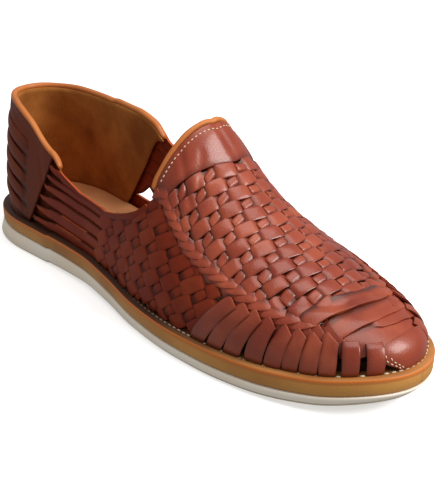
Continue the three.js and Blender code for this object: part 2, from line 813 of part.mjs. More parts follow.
// Binding over the back edge of the vamp, from one throat corner over the ridge to the other
function throatBinding() {
  const rows = [SIDE_ROWS + 0.5];
  for (let row = SIDE_ROWS + 1; row <= ROWS; row += 1) rows.push(row);
  const crossing = (column) => (row) => ({ column, row, up: behindTheVamp });
  const outerSide = rows.map(crossing(throatColumn));
  const innerSide = rows.slice(0, -1).reverse().map(crossing(COLUMNS - throatColumn));
  return binding([...outerSide, ...innerSide]);
}

const RUBBER = { color: 0xe9ddc8, roughness: 0.75, metalness: 0 };
const NATURAL_LEATHER = { color: 0xb97a3c, roughness: 0.6, metalness: 0 };
const INSOLE_LEATHER = { color: 0x9a6238, roughness: 0.7, metalness: 0 };
const WOVEN_LEATHER = { color: 0x7a2f1c, roughness: 0.35, metalness: 0 };
const COUNTER_LEATHER = { color: 0x5b2f25, roughness: 0.4, metalness: 0 };
const BINDING_LEATHER = { color: 0xb5622a, roughness: 0.45, metalness: 0 };

const pieces = [
  ["outsole", outsole, RUBBER],
  ["midsole", midsole, NATURAL_LEATHER],
  ["insole", insole, INSOLE_LEATHER],
  ["upper", upper, WOVEN_LEATHER],
  ["heel_counter", heelCounter, COUNTER_LEATHER],
  ["toe_cap", toeCap, WOVEN_LEATHER],
  ["collar_binding", collarBinding, BINDING_LEATHER],
  ["throat_binding", throatBinding, BINDING_LEATHER],
];

const shoe = new THREE.Group();
for (const [name, build, look] of pieces) {
  const mesh = new THREE.Mesh(build(), new THREE.MeshStandardMaterial(look));
  mesh.name = name;
  shoe.add(mesh);
}

// The origin is under the middle of the sole's box
const box = new THREE.Box3().setFromObject(shoe);
shoe.position.set(-(box.min.x + box.max.x) / 2, -(box.min.y + box.max.y) / 2, -box.min.z);

export default shoe;
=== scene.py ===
# %% [markdown]
# # A woven leather huarache
# A huarache is woven on its last: wet straps of leather are threaded over and under each other
# round a wooden foot, and dry in its shape. This notebook dresses the solid model of a right shoe
# in the same order. First comes the surface of the last, then the sole, the straps, the bindings
# and the stitches, and at the end the leathers, the light and the camera.

import math

import bmesh
import bpy
import numpy as np
from mathutils import Matrix, Vector


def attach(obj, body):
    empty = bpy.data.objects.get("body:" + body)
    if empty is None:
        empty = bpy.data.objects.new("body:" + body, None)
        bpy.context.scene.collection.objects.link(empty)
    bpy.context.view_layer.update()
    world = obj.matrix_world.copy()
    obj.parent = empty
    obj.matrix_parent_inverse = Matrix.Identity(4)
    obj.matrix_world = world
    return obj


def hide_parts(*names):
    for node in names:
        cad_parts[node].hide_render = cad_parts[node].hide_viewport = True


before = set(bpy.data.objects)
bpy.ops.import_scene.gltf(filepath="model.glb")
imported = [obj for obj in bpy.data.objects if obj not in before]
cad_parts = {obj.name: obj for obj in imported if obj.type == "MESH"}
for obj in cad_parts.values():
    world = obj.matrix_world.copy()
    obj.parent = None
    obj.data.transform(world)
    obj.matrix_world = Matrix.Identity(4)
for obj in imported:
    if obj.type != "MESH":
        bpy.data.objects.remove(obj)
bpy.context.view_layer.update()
print("nodes:", ", ".join(sorted(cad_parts)))

# %% [markdown]
# ## The last
# Every strap lies on one curved surface, so that surface comes first, as a function. It is built
# as a shoemaker cuts sections through a last: an outline for the sole, and at each station a
# rounded half section from the feather line, where upper and sole meet, up to the ridge. Lengths
# are in millimetres here, with the heel at x = 0, the toe at x = 300 and the inner side at +y.

# %% Curves through a table of stations
SOLE_LENGTH = 300.0
BALL_WIDTH = 96.3
HEEL_WIDTH = 66.2


def curve(along, values):
    x = np.array(along, float) * SOLE_LENGTH
    y = np.array(values, float)
    step = np.diff(x)
    rise = np.diff(y) / step
    slope = np.zeros(len(y))
    for k in range(1, len(y) - 1):
        if rise[k - 1] * rise[k] > 0:
            before = 2 * step[k] + step[k - 1]
            after = step[k] + 2 * step[k - 1]
            slope[k] = (before + after) / (before / rise[k - 1] + after / rise[k])

    def value(at):
        at = np.clip(np.asarray(at, float), x[0], x[-1])
        k = np.clip(np.searchsorted(x, at, side="right") - 1, 0, len(step) - 1)
        s = (at - x[k]) / step[k]
        start = (1 + 2 * s) * (1 - s) ** 2 * y[k] + s * (1 - s) ** 2 * step[k] * slope[k]
        return start + s * s * (3 - 2 * s) * y[k + 1] + s * s * (s - 1) * step[k] * slope[k + 1]

    return value


def smooth_step(s):
    s = np.clip(s, 0, 1)
    return s * s * (3 - 2 * s)


# %% The outline of the sole
outer_width = curve(
    [0.16, 0.25, 0.35, 0.45, 0.55, 0.65],
    [33.2, 33.2, 33.83, 38.23, 44.2, 46.8],
)
inner_width = curve(
    [0.16, 0.25, 0.35, 0.45, 0.55, 0.633, 0.727],
    [33.0, 30.52, 27.27, 27.83, 34.48, 43.53, 49.5],
)
arch_share = curve([0, 0.1, 0.24, 0.25, 0.4, 0.6, 1], [0, 0, 0, 0.6, 1, 0, 0])
spring_share = curve([0, 0.71, 0.8, 0.9, 1], [0, 0, 0.09, 0.43, 1])
edge_flare = curve(
    [0, 0.1, 0.24, 0.25, 0.4, 0.8, 0.9, 1], [1.8, 1.8, 0.63, 0.54, 0, 0, -0.72, -2.88]
)
ledge_inset = curve([0, 0.133, 0.367, 0.667, 1], [4.5, 4, 3.5, 4.5, 5])
TOE_TIP_Y = 0.031 * BALL_WIDTH
HEEL_AXIS_X, THROAT_X, TOE_AXIS_X = 36.0, 168.0, 248.01
HEEL_COLUMNS, THROAT_COLUMN, TOE_AXIS_COLUMN, TIP_COLUMN = 5, 17, 24, 31


def half_width(x, inner):
    def side(width, start, end, roundness, tip):
        back = np.clip((start - x) / start, 0, 1)
        heel = width(start) * np.maximum(1 - back**2.1, 0) ** (1 / 2.1)
        front = np.clip((x - end) / (SOLE_LENGTH - end), 0, 1)
        toe = tip + (width(end) - tip) * (1 - front**roundness) ** (1 / roundness)
        return np.where(x < start, heel, np.where(x > end, toe, width(x)))

    outer = side(outer_width, 48.0, 195.0, 2.15, -TOE_TIP_Y)
    return np.where(inner, side(inner_width, 48.0, 218.1, 1.95, TOE_TIP_Y), outer)


def column_x(count):
    heel = HEEL_AXIS_X * (1 - np.cos(math.pi / 2 * count / HEEL_COLUMNS))
    quarter = HEEL_AXIS_X + (THROAT_X - HEEL_AXIS_X) * (count - HEEL_COLUMNS) / 12
    vamp = THROAT_X + (TOE_AXIS_X - THROAT_X) * (count - THROAT_COLUMN) / 7
    turn = np.clip((count - TOE_AXIS_COLUMN) / 7, 0, 1)
    toe = TOE_AXIS_X + (SOLE_LENGTH - TOE_AXIS_X) * np.sin(math.pi / 2 * turn)
    straight = np.where(count < THROAT_COLUMN, quarter, vamp)
    return np.where(count < HEEL_COLUMNS, heel, np.where(count < TOE_AXIS_COLUMN, straight, toe))


# A column is counted from the heel, to +31 at the toe by the outer side and -31 by the inner one
def edge_point(column):
    column = (np.asarray(column, float) + TIP_COLUMN) % (2 * TIP_COLUMN) - TIP_COLUMN
    inner = column < 0
    x = column_x(np.abs(column))
    return np.stack([x, half_width(x, inner) * np.where(inner, 1, -1)], -1)


def outline_point(column, inset):
    along = edge_point(column + 0.02) - edge_point(column - 0.02)
    along /= np.linalg.norm(along, axis=-1, keepdims=True)
    inward = np.stack([-along[..., 1], along[..., 0]], -1)
    return edge_point(column) + inward * np.asarray(inset)[..., None]


# %% Heights of the sole and sections of the last
def floor_lift(x):
    return 1.3 * arch_share(x) + 7.3 * spring_share(x)


def outsole_top(x):
    return floor_lift(x) + 8.6 + (5.1 - 8.6) * smooth_step((x / SOLE_LENGTH - 0.2) / 0.45)


def feather_height(x):
    return outsole_top(x) + 8.3


STATIONS = [0.12, 0.233, 0.333, 0.433, 0.5, 0.583, 0.623, 0.667, 0.75, 0.817, 0.883]
ridge_rise = curve(
    STATIONS, [123.1, 119.2, 113.05, 105.7, 97.5, 84.3, 69.7, 57.1, 41.5, 32.5, 24.65]
)
wall_bulge = curve(STATIONS, [0.29, 0.48, 0.96, 1.54, 2.02, 2.99, 3.18, 3.47, 2.99, 2.5, 2.02])
wall_lift = curve(STATIONS, [0.38, 0.42, 0.42, 0.42, 0.45, 0.51, 0.52, 0.53, 0.58, 0.61, 0.58])
wall_crown = curve(STATIONS, [0.45, 0.45, 0.42, 0.42, 0.46, 0.5, 0.46, 0.44, 0.48, 0.52, 0.51])
ridge_shift = curve(STATIONS, [0, 0, 0, 0, 0, 0.48, 0.77, 0.96, 1.54, 1.93, 2.02])


def ridge_top(x):
    return feather_height(x) + ridge_rise(x)


def last_point(column, share):
    column, share = np.broadcast_arrays(np.asarray(column, float), np.asarray(share, float))
    edge = edge_point(column)
    feather = outline_point(column, ledge_inset(edge[..., 0]))
    out = outline_point(column, -np.ones(column.shape)) - edge
    axis_x = np.clip(edge[..., 0], HEEL_AXIS_X, TOE_AXIS_X)
    axis_y = ridge_shift(axis_x)
    base = feather_height(feather[..., 0])
    top = ridge_top(axis_x)
    slope = (ridge_top(axis_x + 1) - ridge_top(axis_x - 1)) / 2
    crown = wall_crown(edge[..., 0])
    swell = wall_bulge(edge[..., 0])
    shoulder_x = axis_x + crown * (feather[..., 0] - axis_x)
    shoulder_y = axis_y + crown * (feather[..., 1] - axis_y)
    low = np.stack([feather[..., 0], feather[..., 1], base], -1)
    wall = low + np.stack(
        [out[..., 0] * swell, out[..., 1] * swell, wall_lift(edge[..., 0]) * (top - base)], -1
    )
    shoulder = np.stack([shoulder_x, shoulder_y, top + slope * (shoulder_x - axis_x)], -1)
    ridge = np.stack([axis_x, axis_y, top], -1)
    s = share[..., None]
    return (
        (1 - s) ** 3 * low
        + 3 * s * (1 - s) ** 2 * wall
        + 3 * s * s * (1 - s) * shoulder
        + s**3 * ridge
    )


def last_at(column, share, offset):
    column, share, offset = np.broadcast_arrays(
        np.asarray(column, float), np.asarray(share, float), np.asarray(offset, float)
    )
    up = last_point(column, np.clip(share + 0.02, 0, 0.99)) - last_point(
        column, np.clip(share - 0.02, 0, 0.95)
    )
    flat = np.minimum(share, 0.97)
    along = last_point(column + 0.05, flat) - last_point(column - 0.05, flat)
    normal = np.cross(along, up)
    normal /= np.linalg.norm(normal, axis=-1, keepdims=True)
    return last_point(column, share) + normal * offset[..., None]


print("ball of the foot, outer side:", last_point(20.0, 0.3).round(1))

# %% [markdown]
# ## Measuring along the leather
# A strap has a width in millimetres, wherever it lies. So the two walls and the vamp each get a
# pair of coordinates that are true lengths on the surface: how far along, and how far up or
# across. They come from tables of arc lengths, which are read backwards.

# %% Lengths along lines, and reading between the entries of a table
def arc_lengths(points):
    steps = np.linalg.norm(np.diff(points, axis=-2), axis=-1)
    start = np.zeros(steps.shape[:-1] + (1,))
    return np.concatenate([start, np.cumsum(steps, axis=-1)], axis=-1)


def rows_at(at, along, table):
    return np.stack([np.interp(at, along, column) for column in np.asarray(table).T], -1)


def read_grid(table, row, col):
    row = np.clip(row, 0, table.shape[0] - 1.001)
    col = np.clip(col, 0, table.shape[1] - 1.001)
    i, j = row.astype(int), col.astype(int)
    f, g = row - i, col - j
    low = table[i, j] * (1 - g) + table[i, j + 1] * g
    high = table[i + 1, j] * (1 - g) + table[i + 1, j + 1] * g
    return low * (1 - f) + high * f


# %% The two side walls: s along the feather line from the heel, w up the wall
OUTER, INNER = 1, -1
COLUMN_STEPS = 8
COUNTS = np.linspace(0, TIP_COLUMN, COLUMN_STEPS * TIP_COLUMN + 1)
SHARES = np.linspace(0, 1, 65)
CLIMB = np.arange(0, 141.0, 1.0)
BRAID_WIDTH = 7.0
BRAID_STATIONS = [0.56, 0.667, 0.82, 0.93, 1]
topline = {
    OUTER: curve(
        [0, 0.1, 0.167, 0.217, 0.263, 0.287, 0.323, 0.373, 0.393, 0.427, 0.5, 0.55, 0.56],
        [65, 63.7, 57.5, 48.5, 41.5, 34.5, 32.5, 31.5, 31.4, 31.9, 38.8, 47.9, 52],
    ),
    INNER: curve(
        [0, 0.323, 0.373, 0.393, 0.427, 0.5, 0.55, 0.56],
        [65, 65, 61.1, 54.2, 50.5, 50.05, 51.4, 52],
    ),
}
braid_foot = {
    OUTER: curve(BRAID_STATIONS, [0.42, 0.36, 0.35, 0.36, 0.44]),
    INNER: curve(BRAID_STATIONS, [0.42, 0.4, 0.44, 0.47, 0.44]),
}


def measure_wall(side):
    grid = last_point(side * COUNTS[:, None], SHARES[None, :])
    climbs = arc_lengths(grid)
    station = column_x(COUNTS)
    rises = grid[..., 2] - grid[:, :1, 2]
    top = np.array([np.interp(h, z, SHARES) for h, z in zip(topline[side](station), rises)])
    share = top + (braid_foot[side](station) - top) * np.clip(COUNTS - THROAT_COLUMN, 0, 1)
    return {
        "grid": grid,
        "run": arc_lengths(grid[:, 0]),
        "share": np.array([np.interp(CLIMB, row, SHARES) for row in climbs]),
        "top": np.array([np.interp(s, SHARES, row) for s, row in zip(share, climbs)]),
        "top_share": share,
        "length": climbs[:, -1],
    }


walls = {side: measure_wall(side) for side in (OUTER, INNER)}
print("length of the outer wall:", round(float(walls[OUTER]["run"][-1]), 1), "mm")


def run_at(side, x):
    return np.interp(x, column_x(COUNTS), walls[side]["run"])


def count_at(side, s):
    return np.interp(s, walls[side]["run"], COUNTS)


def wall_top(side, s):
    return np.interp(s, walls[side]["run"], walls[side]["top"])


# The column may run on past the toe, from the outer side to the inner one
def wall_value(key, column):
    turned = np.where(column > TIP_COLUMN, column - 2 * TIP_COLUMN, column)
    outer = np.interp(np.abs(turned), COUNTS, walls[OUTER][key])
    inner = np.interp(np.abs(turned), COUNTS, walls[INNER][key])
    return np.where(turned < 0, inner, outer)


# %% [markdown]
# ## Creases
# Leather that is bent by a foot gets creases, and they run across many straps at once. So a crease
# belongs to the surface and not to a strap: it is a straight line in the surface's own coordinates,
# where everything is pressed in by half a millimetre or so, with a low ridge on both sides.

# %% Creases: start, end, half width and depth of each, in millimetres
WALL_CREASES = {
    OUTER: [
        ((20, 66), (62, 47), 3.5, 0.5),
        ((64, 40), (72, 12), 2.6, 0.45),
        ((8, 12), (30, 9), 3.0, 0.4),
        ((150, 8), (158, 24), 3.0, 0.5),
        ((196, 6), (204, 22), 3.0, 0.45),
        ((228, 8), (236, 22), 3.2, 0.4),
    ],
    INNER: [
        ((22, 62), (60, 50), 3.5, 0.5),
        ((66, 44), (74, 14), 2.6, 0.4),
        ((160, 8), (170, 26), 3.2, 0.5),
        ((206, 6), (214, 20), 3.0, 0.45),
    ],
}
VAMP_CREASES = [
    ((170, -2), (188, 3), 2.6, 0.45),
    ((173, -24), (187, -32), 3.0, 0.55),
    ((172, 13), (186, 19), 2.8, 0.4),
    ((180, -14), (187, -24), 2.4, 0.4),
    ((213, -33), (226, -12), 4.0, 0.5),
    ((222, 30), (236, 10), 4.0, 0.45),
    ((243, -28), (266, -10), 4.5, 0.8),
    ((246, 24), (266, 8), 4.5, 0.6),
    ((262, -14), (268, 12), 3.5, 0.5),
]


def crease_depth(a, b, creases):
    total = np.zeros(np.broadcast(a, b).shape)
    for start, end, wide, deep in creases:
        along = np.array(end, dtype=float) - start
        length = np.linalg.norm(along)
        t = ((a - start[0]) * along[0] + (b - start[1]) * along[1]) / length**2
        near = np.clip(t, 0, 1)
        d = np.hypot(a - start[0] - near * along[0], b - start[1] - near * along[1]) / wide
        fade = smooth_step(np.minimum(t + 0.3, 1.3 - t) / 0.4)
        total = total + deep * fade * (1 - 0.9 * d * d) * np.exp(-d * d)
    return total


def wall_surface(side):
    def surface(s, w, offset):
        count = count_at(side, s)
        offset = offset - crease_depth(edge_point(count)[..., 0], w, WALL_CREASES[side])
        share = read_grid(walls[side]["share"], count * COLUMN_STEPS, w)
        return last_at(side * count, share, offset)

    return surface


# %% The vamp from above: u along the shoe, v across it from the ridge, outer side negative
U_GRID = np.arange(150.0, 294.0, 1.0)
V_GRID = np.arange(-80.0, 81.0, 1.0)


def cross_section(x):
    outer, inner = (
        [
            rows_at(x, line[:, 0], line[:, 1:])
            for line in walls[side]["grid"].swapaxes(0, 1)
            if line[-1, 0] >= x
        ]
        for side in (OUTER, INNER)
    )
    middle = []
    if x > TOE_AXIS_X:
        tip = last_point(TIP_COLUMN, SHARES)
        middle = [rows_at(-x, -tip[:, 0], tip[:, 1:])]
    line = np.array(outer + middle + inner[::-1])
    ridge = len(outer) - (0 if middle else 1)
    arc = arc_lengths(line)
    return rows_at(V_GRID, arc - arc[ridge], line), line[ridge]


sections = [cross_section(x) for x in U_GRID]
VAMP_Y, VAMP_Z = np.moveaxis([table for table, _ in sections], -1, 0)
RIDGE_ARC = arc_lengths(np.column_stack([U_GRID, [ridge for _, ridge in sections]]))


def vamp_point(u, v):
    row, col = u - U_GRID[0], v - V_GRID[0]
    return np.stack([u + 0 * v, read_grid(VAMP_Y, row, col), read_grid(VAMP_Z, row, col)], -1)


def vamp_surface(u, v, offset):
    u, v, offset = np.broadcast_arrays(u, v, offset - crease_depth(u, v, VAMP_CREASES))
    ahead = vamp_point(u + 2, v) - vamp_point(u - 2, v)
    across = vamp_point(u, v + 2) - vamp_point(u, v - 2)
    normal = np.cross(ahead, across)
    normal /= np.linalg.norm(normal, axis=-1, keepdims=True)
    return vamp_point(u, v) + normal * offset[..., None]


def vamp_place(points):
    found = []
    for x, across in points[:, :2]:
        row = rows_at(x, U_GRID, VAMP_Y[:, ::2])
        found.append((x, np.interp(across, row, V_GRID[::2])))
    return np.array(found)


# %% The braid: q along it, from the outer corner of the throat round the toe, p up across it
BRAID_COLUMNS = np.linspace(THROAT_COLUMN, 2 * TIP_COLUMN - THROAT_COLUMN, 225)
braid_low = wall_value("top_share", BRAID_COLUMNS)
braid_across = BRAID_WIDTH / wall_value("length", BRAID_COLUMNS)
braid_middle = braid_low + braid_across / 2
BRAID_ARC = arc_lengths(last_point(BRAID_COLUMNS, braid_middle))
BRAID_LENGTH = float(BRAID_ARC[-1])


def braid_surface(q, p, offset):
    column = np.interp(q, BRAID_ARC, BRAID_COLUMNS)
    share = np.interp(q, BRAID_ARC, braid_middle) + p / wall_value("length", column)
    return last_at(column, share, offset)


edge_place = vamp_place(last_point(BRAID_COLUMNS, braid_low + braid_across))
tip_index = int(np.argmax(edge_place[:, 0]))
EDGE = {OUTER: edge_place[: tip_index + 1], INNER: edge_place[tip_index:][::-1]}
print("length of the braid:", round(BRAID_LENGTH, 1), "mm")


def vamp_edge(side, u):
    return np.abs(np.interp(u, EDGE[side][:, 0], EDGE[side][:, 1]))


# %% [markdown]
# ## Making a piece
# Each strap starts as a flat grid from bmesh, and its vertices are laid on the surface. A
# Solidify modifier then gives the leather its thickness, with a second material on the cut edge,
# and a Bevel softens the corners. Two attributes go with the strap. The first is 1 where the strap
# goes under another or lies in the shade of its neighbours, and the material paints shade there as
# a darker colour. The second, `tone`, differs from strap to strap.

# %% Helpers for meshes
SHIFT = np.array([149.1, 1.32, 0.0])
materials = {}


def to_metres(points):
    return (np.asarray(points) - SHIFT) / 1000


def new_bmesh():
    bm = bmesh.new()
    # Painted shade: a darker colour where a piece goes under another or lies in shade
    bm.verts.layers.float.new("dip")
    bm.verts.layers.float.new("tone")
    return bm


def sheet_on(bm, place, steps, across, flip=False, dip=None, tone=0.5, material=0):
    made = bmesh.ops.create_grid(bm, x_segments=steps, y_segments=across, size=1)
    verts = made["verts"]
    t = np.array([(v.co.x + 1) / 2 for v in verts])
    q = np.array([v.co.y for v in verts])
    points = to_metres(place(t, q))
    dips = np.zeros(len(t)) if dip is None else np.broadcast_to(dip(t, q), t.shape)
    tones = np.broadcast_to(tone, t.shape)
    dip_layer = bm.verts.layers.float["dip"]
    tone_layer = bm.verts.layers.float["tone"]
    for v, point, d, n in zip(verts, points, dips, tones):
        v.co = point
        v[dip_layer] = d
        v[tone_layer] = n
    faces = list({f for v in verts for f in v.link_faces})
    for f in faces:
        f.material_index = material
        f.smooth = True
    if flip:
        bmesh.ops.reverse_faces(bm, faces=faces)
    return verts


def ribbon(bm, surface, centre, width, height, steps, across=6, **looks):
    def place(t, q):
        a, b = centre(t)
        ahead = np.array(centre(t + 1e-3)) - np.array(centre(t - 1e-3))
        ahead /= np.maximum(np.linalg.norm(ahead, axis=0), 1e-9)
        half = width(t) / 2
        return surface(a - ahead[1] * q * half, b + ahead[0] * q * half, height(t, q))

    return sheet_on(bm, place, steps, across, **looks)


def finish_piece(name, bm, slots, thickness=0.0, bevel=0.0, replaces=()):
    mesh = bpy.data.meshes.new(name)
    bm.to_mesh(mesh)
    bm.free()
    piece = bpy.data.objects.new(name, mesh)
    bpy.context.scene.collection.objects.link(piece)
    for slot in slots:
        mesh.materials.append(materials[slot])
    if thickness:
        wall = piece.modifiers.new("Leather thickness", "SOLIDIFY")
        wall.thickness = thickness / 1000
        wall.offset = -1
        wall.material_offset_rim = 1 if len(slots) > 1 else 0
    if bevel:
        edge = piece.modifiers.new("Soft edge", "BEVEL")
        edge.width = bevel / 1000
        edge.segments = 2
        edge.limit_method = "ANGLE"
        edge.angle_limit = math.radians(50)
    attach(piece, "root")
    if replaces:
        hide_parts(*replaces)
    print(name, len(mesh.polygons), "faces before its modifiers")
    return piece


# %% [markdown]
# ## Effects that several leathers share
# Leather is never one flat colour. Two node groups are built once and used in each material:
# one gives the fine grain and the cloudy unevenness of the dye. The other paints shade as a darker
# colour where a strap lies deep or under another, and rubs the high places lighter.

# %% Helpers for nodes: a socket is set or linked, whichever its value asks for
FLOAT, COLOUR = "NodeSocketFloat", "NodeSocketColor"


def new_group(name, inputs, outputs):
    group = bpy.data.node_groups.new(name, "ShaderNodeTree")
    for label, kind, value in inputs:
        made = group.interface.new_socket(label, in_out="INPUT", socket_type=kind)
        made.default_value = value
    for label, kind in outputs:
        group.interface.new_socket(label, in_out="OUTPUT", socket_type=kind)
    return group, group.nodes.new("NodeGroupInput").outputs, group.nodes.new("NodeGroupOutput")


def feed(tree, socket, value):
    if hasattr(value, "is_output"):
        tree.links.new(value, socket)
    else:
        socket.default_value = value


def add_node(tree, kind, group=None, **values):
    node = tree.nodes.new("ShaderNode" + kind)
    if group:
        node.node_tree = group
    for label, value in values.items():
        feed(tree, node.inputs[label.replace("_", " ")], value)
    return node


def math_node(tree, operation, first, second, clamp=False):
    node = tree.nodes.new("ShaderNodeMath")
    node.operation = operation
    node.use_clamp = clamp
    feed(tree, node.inputs[0], first)
    feed(tree, node.inputs[1], second)
    return node.outputs[0]


def mix_colour(tree, factor, first, second):
    node = tree.nodes.new("ShaderNodeMix")
    node.data_type = "RGBA"
    for k, value in ((0, factor), (6, first), (7, second)):
        feed(tree, node.inputs[k], value)
    return node.outputs[2]


def attribute(tree, name):
    node = tree.nodes.new("ShaderNodeAttribute")
    node.attribute_name = name
    return node.outputs["Fac"]


# %% Leather grain: height for a bump, and a cloudy mask
grain_group, given, result = new_group(
    "Leather grain",
    [("Pores", FLOAT, 900.0), ("Clouds", FLOAT, 60.0), ("Wrinkles", FLOAT, 0.4)],
    [("Height", FLOAT), ("Cloud", FLOAT)],
)
coords = grain_group.nodes.new("ShaderNodeTexCoord").outputs["Object"]
pores = add_node(grain_group, "TexVoronoi", Vector=coords, Scale=given["Pores"])
wrinkle = add_node(grain_group, "TexNoise", Vector=coords, Scale=260.0, Detail=4.0)
cloud = add_node(grain_group, "TexNoise", Vector=coords, Scale=given["Clouds"], Detail=3.0)
pore_height = math_node(grain_group, "MULTIPLY", pores.outputs["Distance"], 0.5)
fold_height = math_node(grain_group, "MULTIPLY", wrinkle.outputs["Fac"], given["Wrinkles"])
feed(grain_group, result.inputs["Height"], math_node(grain_group, "ADD", pore_height, fold_height))
spread = math_node(grain_group, "SUBTRACT", cloud.outputs["Fac"], 0.5)
spread = math_node(grain_group, "MULTIPLY", spread, 2.6)
feed(grain_group, result.inputs["Cloud"], math_node(grain_group, "ADD", spread, 0.5, clamp=True))

# %% Strap dye and painted shade: painted shade where the strap goes under another or lies in shade, and uneven from strap to strap
dye_and_shade_group, given, result = new_group(
    "Strap dye and painted shade",
    [
        ("Deep", COLOUR, (0.05, 0.01, 0.006, 1)),
        ("Dyed", COLOUR, (0.22, 0.05, 0.03, 1)),
        ("Rubbed", COLOUR, (0.4, 0.14, 0.08, 1)),
        ("Cloud", FLOAT, 0.5),
        ("Dip depth", FLOAT, 0.9),
    ],
    [("Colour", COLOUR), ("Rub", FLOAT)],
)
# Painted shade: the vertex attribute that marks where a strap goes under another or lies in shade
dip, tone = attribute(dye_and_shade_group, "dip"), attribute(dye_and_shade_group, "tone")
high = math_node(dye_and_shade_group, "SUBTRACT", 1.0, dip, clamp=True)
rub = math_node(dye_and_shade_group, "MULTIPLY", given["Cloud"], tone)
rub = math_node(dye_and_shade_group, "MULTIPLY", rub, high, clamp=True)
colour = mix_colour(dye_and_shade_group, rub, given["Dyed"], given["Rubbed"])
# Painted shade: the shade colour is mixed in as far as that attribute reaches
depth = math_node(dye_and_shade_group, "MULTIPLY", dip, given["Dip depth"], clamp=True)
feed(dye_and_shade_group, result.inputs["Colour"], mix_colour(dye_and_shade_group, depth, colour, given["Deep"]))
feed(dye_and_shade_group, result.inputs["Rub"], rub)
print("node groups:", ", ".join(group.name for group in bpy.data.node_groups))


# %% [markdown]
# ## The leathers
# The straps over the foot are dyed red-brown and polished, so they take a coat over a fairly smooth
# base. The straps of the sides and the counter are the same hide, but dull and darker. The lining
# is plain rough suede. Cut edges show the core of the hide: dark on most straps, and raw orange
# where the dye has not reached.

# %% Materials of dyed leather
def linear(red, green, blue):
    def one(value):
        value /= 255
        return value / 12.92 if value <= 0.04045 else ((value + 0.055) / 1.055) ** 2.4

    return (one(red), one(green), one(blue), 1.0)


def new_material(name, roughness, coat=0.0, specular=0.5):
    made = bpy.data.materials.new(name)
    made.use_nodes = True
    shader = made.node_tree.nodes["Principled BSDF"]
    shader.inputs["Roughness"].default_value = roughness
    shader.inputs["Coat Weight"].default_value = coat
    shader.inputs["Coat Roughness"].default_value = 0.2
    shader.inputs["Specular IOR Level"].default_value = specular
    shader.inputs["Specular Tint"].default_value = (1.0, 0.84, 0.74, 1)
    materials[name] = made
    return made.node_tree, shader


def add_bump(tree, shader, height, depth):
    bump = add_node(tree, "Bump", Distance=depth / 1000, Strength=1.0, Height=height)
    feed(tree, shader.inputs["Normal"], bump.outputs["Normal"])


# Colour of the painted shade, dyed and rubbed colour, then roughness and coat
DYED_LEATHERS = {
    "Woven strap leather": ((22, 5, 2), (128, 42, 21), (168, 76, 46), 0.36, 0.36),
    "Side strap leather": ((18, 4, 2), (122, 38, 18), (158, 68, 38), 0.5, 0.08),
    "Counter leather": ((20, 6, 3), (104, 42, 22), (130, 62, 36), 0.5, 0.08),
    "Strap cut edge": ((18, 4, 2), (96, 32, 16), (160, 74, 42), 0.8, 0.0),
    "Raw cut edge": ((24, 7, 3), (176, 80, 44), (206, 116, 72), 0.75, 0.0),
    "Binding leather": ((96, 42, 12), (182, 98, 40), (206, 128, 64), 0.45, 0.12),
}
for name, (deep, dyed, rubbed, roughness, coat) in DYED_LEATHERS.items():
    tree, shader = new_material(name, roughness, coat=coat, specular=0.4 if coat > 0.1 else 0.12)
    grain = add_node(tree, "Group", grain_group, Pores=1100.0, Clouds=55.0, Wrinkles=0.5)
    dye = add_node(
        tree, "Group", dye_and_shade_group, Deep=linear(*deep), Dyed=linear(*dyed),
        Rubbed=linear(*rubbed), Cloud=grain.outputs["Cloud"], Dip_depth=0.9,
    )
    feed(tree, shader.inputs["Base Color"], dye.outputs["Colour"])
    rough = math_node(tree, "MULTIPLY", dye.outputs["Rub"], 0.18)
    feed(tree, shader.inputs["Roughness"], math_node(tree, "ADD", rough, roughness))
    add_bump(tree, shader, grain.outputs["Height"], 0.12)

# %% Plain leathers, rubber and thread
# Dark and light colour, roughness, size of pores, size of clouds, depth of bump
PLAIN_LEATHERS = {
    "Suede lining": ((136, 76, 20), (182, 116, 50), 0.92, 1500.0, 45.0, 0.2),
    "Footbed leather": ((206, 136, 84), (230, 162, 108), 0.75, 1300.0, 30.0, 0.08),
    "Cream rubber": ((248, 230, 206), (253, 244, 228), 0.8, 700.0, 25.0, 0.06),
    "Dark tread": ((196, 180, 158), (214, 200, 180), 0.85, 500.0, 60.0, 0.1),
    "Thread": ((214, 186, 150), (238, 218, 190), 0.8, 2600.0, 80.0, 0.05),
    "Welt thread": ((206, 190, 164), (236, 224, 204), 0.8, 2600.0, 80.0, 0.05),
    "Welt top": ((150, 92, 40), (196, 132, 72), 0.6, 900.0, 30.0, 0.12),
    "Midsole leather": ((164, 106, 42), (204, 144, 70), 0.55, 900.0, 22.0, 0.1),
}
# Where painted shade takes over: between which places along the shoe, in metres, its colour, and
# whether it lies ahead of them
SHADES = {
    "Footbed leather": (0.02, 0.07, (48, 24, 14), True),
    "Welt thread": (0.0, 0.075, (58, 40, 28), False),
    "Welt top": (0.02, 0.12, (66, 32, 14), False),
}


def fade_along(tree, start, end):
    place = tree.nodes.new("ShaderNodeTexCoord").outputs["Object"]
    axes = add_node(tree, "SeparateXYZ", Vector=place)
    ramp = add_node(tree, "MapRange", From_Min=start, From_Max=end, Value=axes.outputs["X"])
    ramp.interpolation_type = "SMOOTHSTEP"
    return ramp.outputs["Result"]


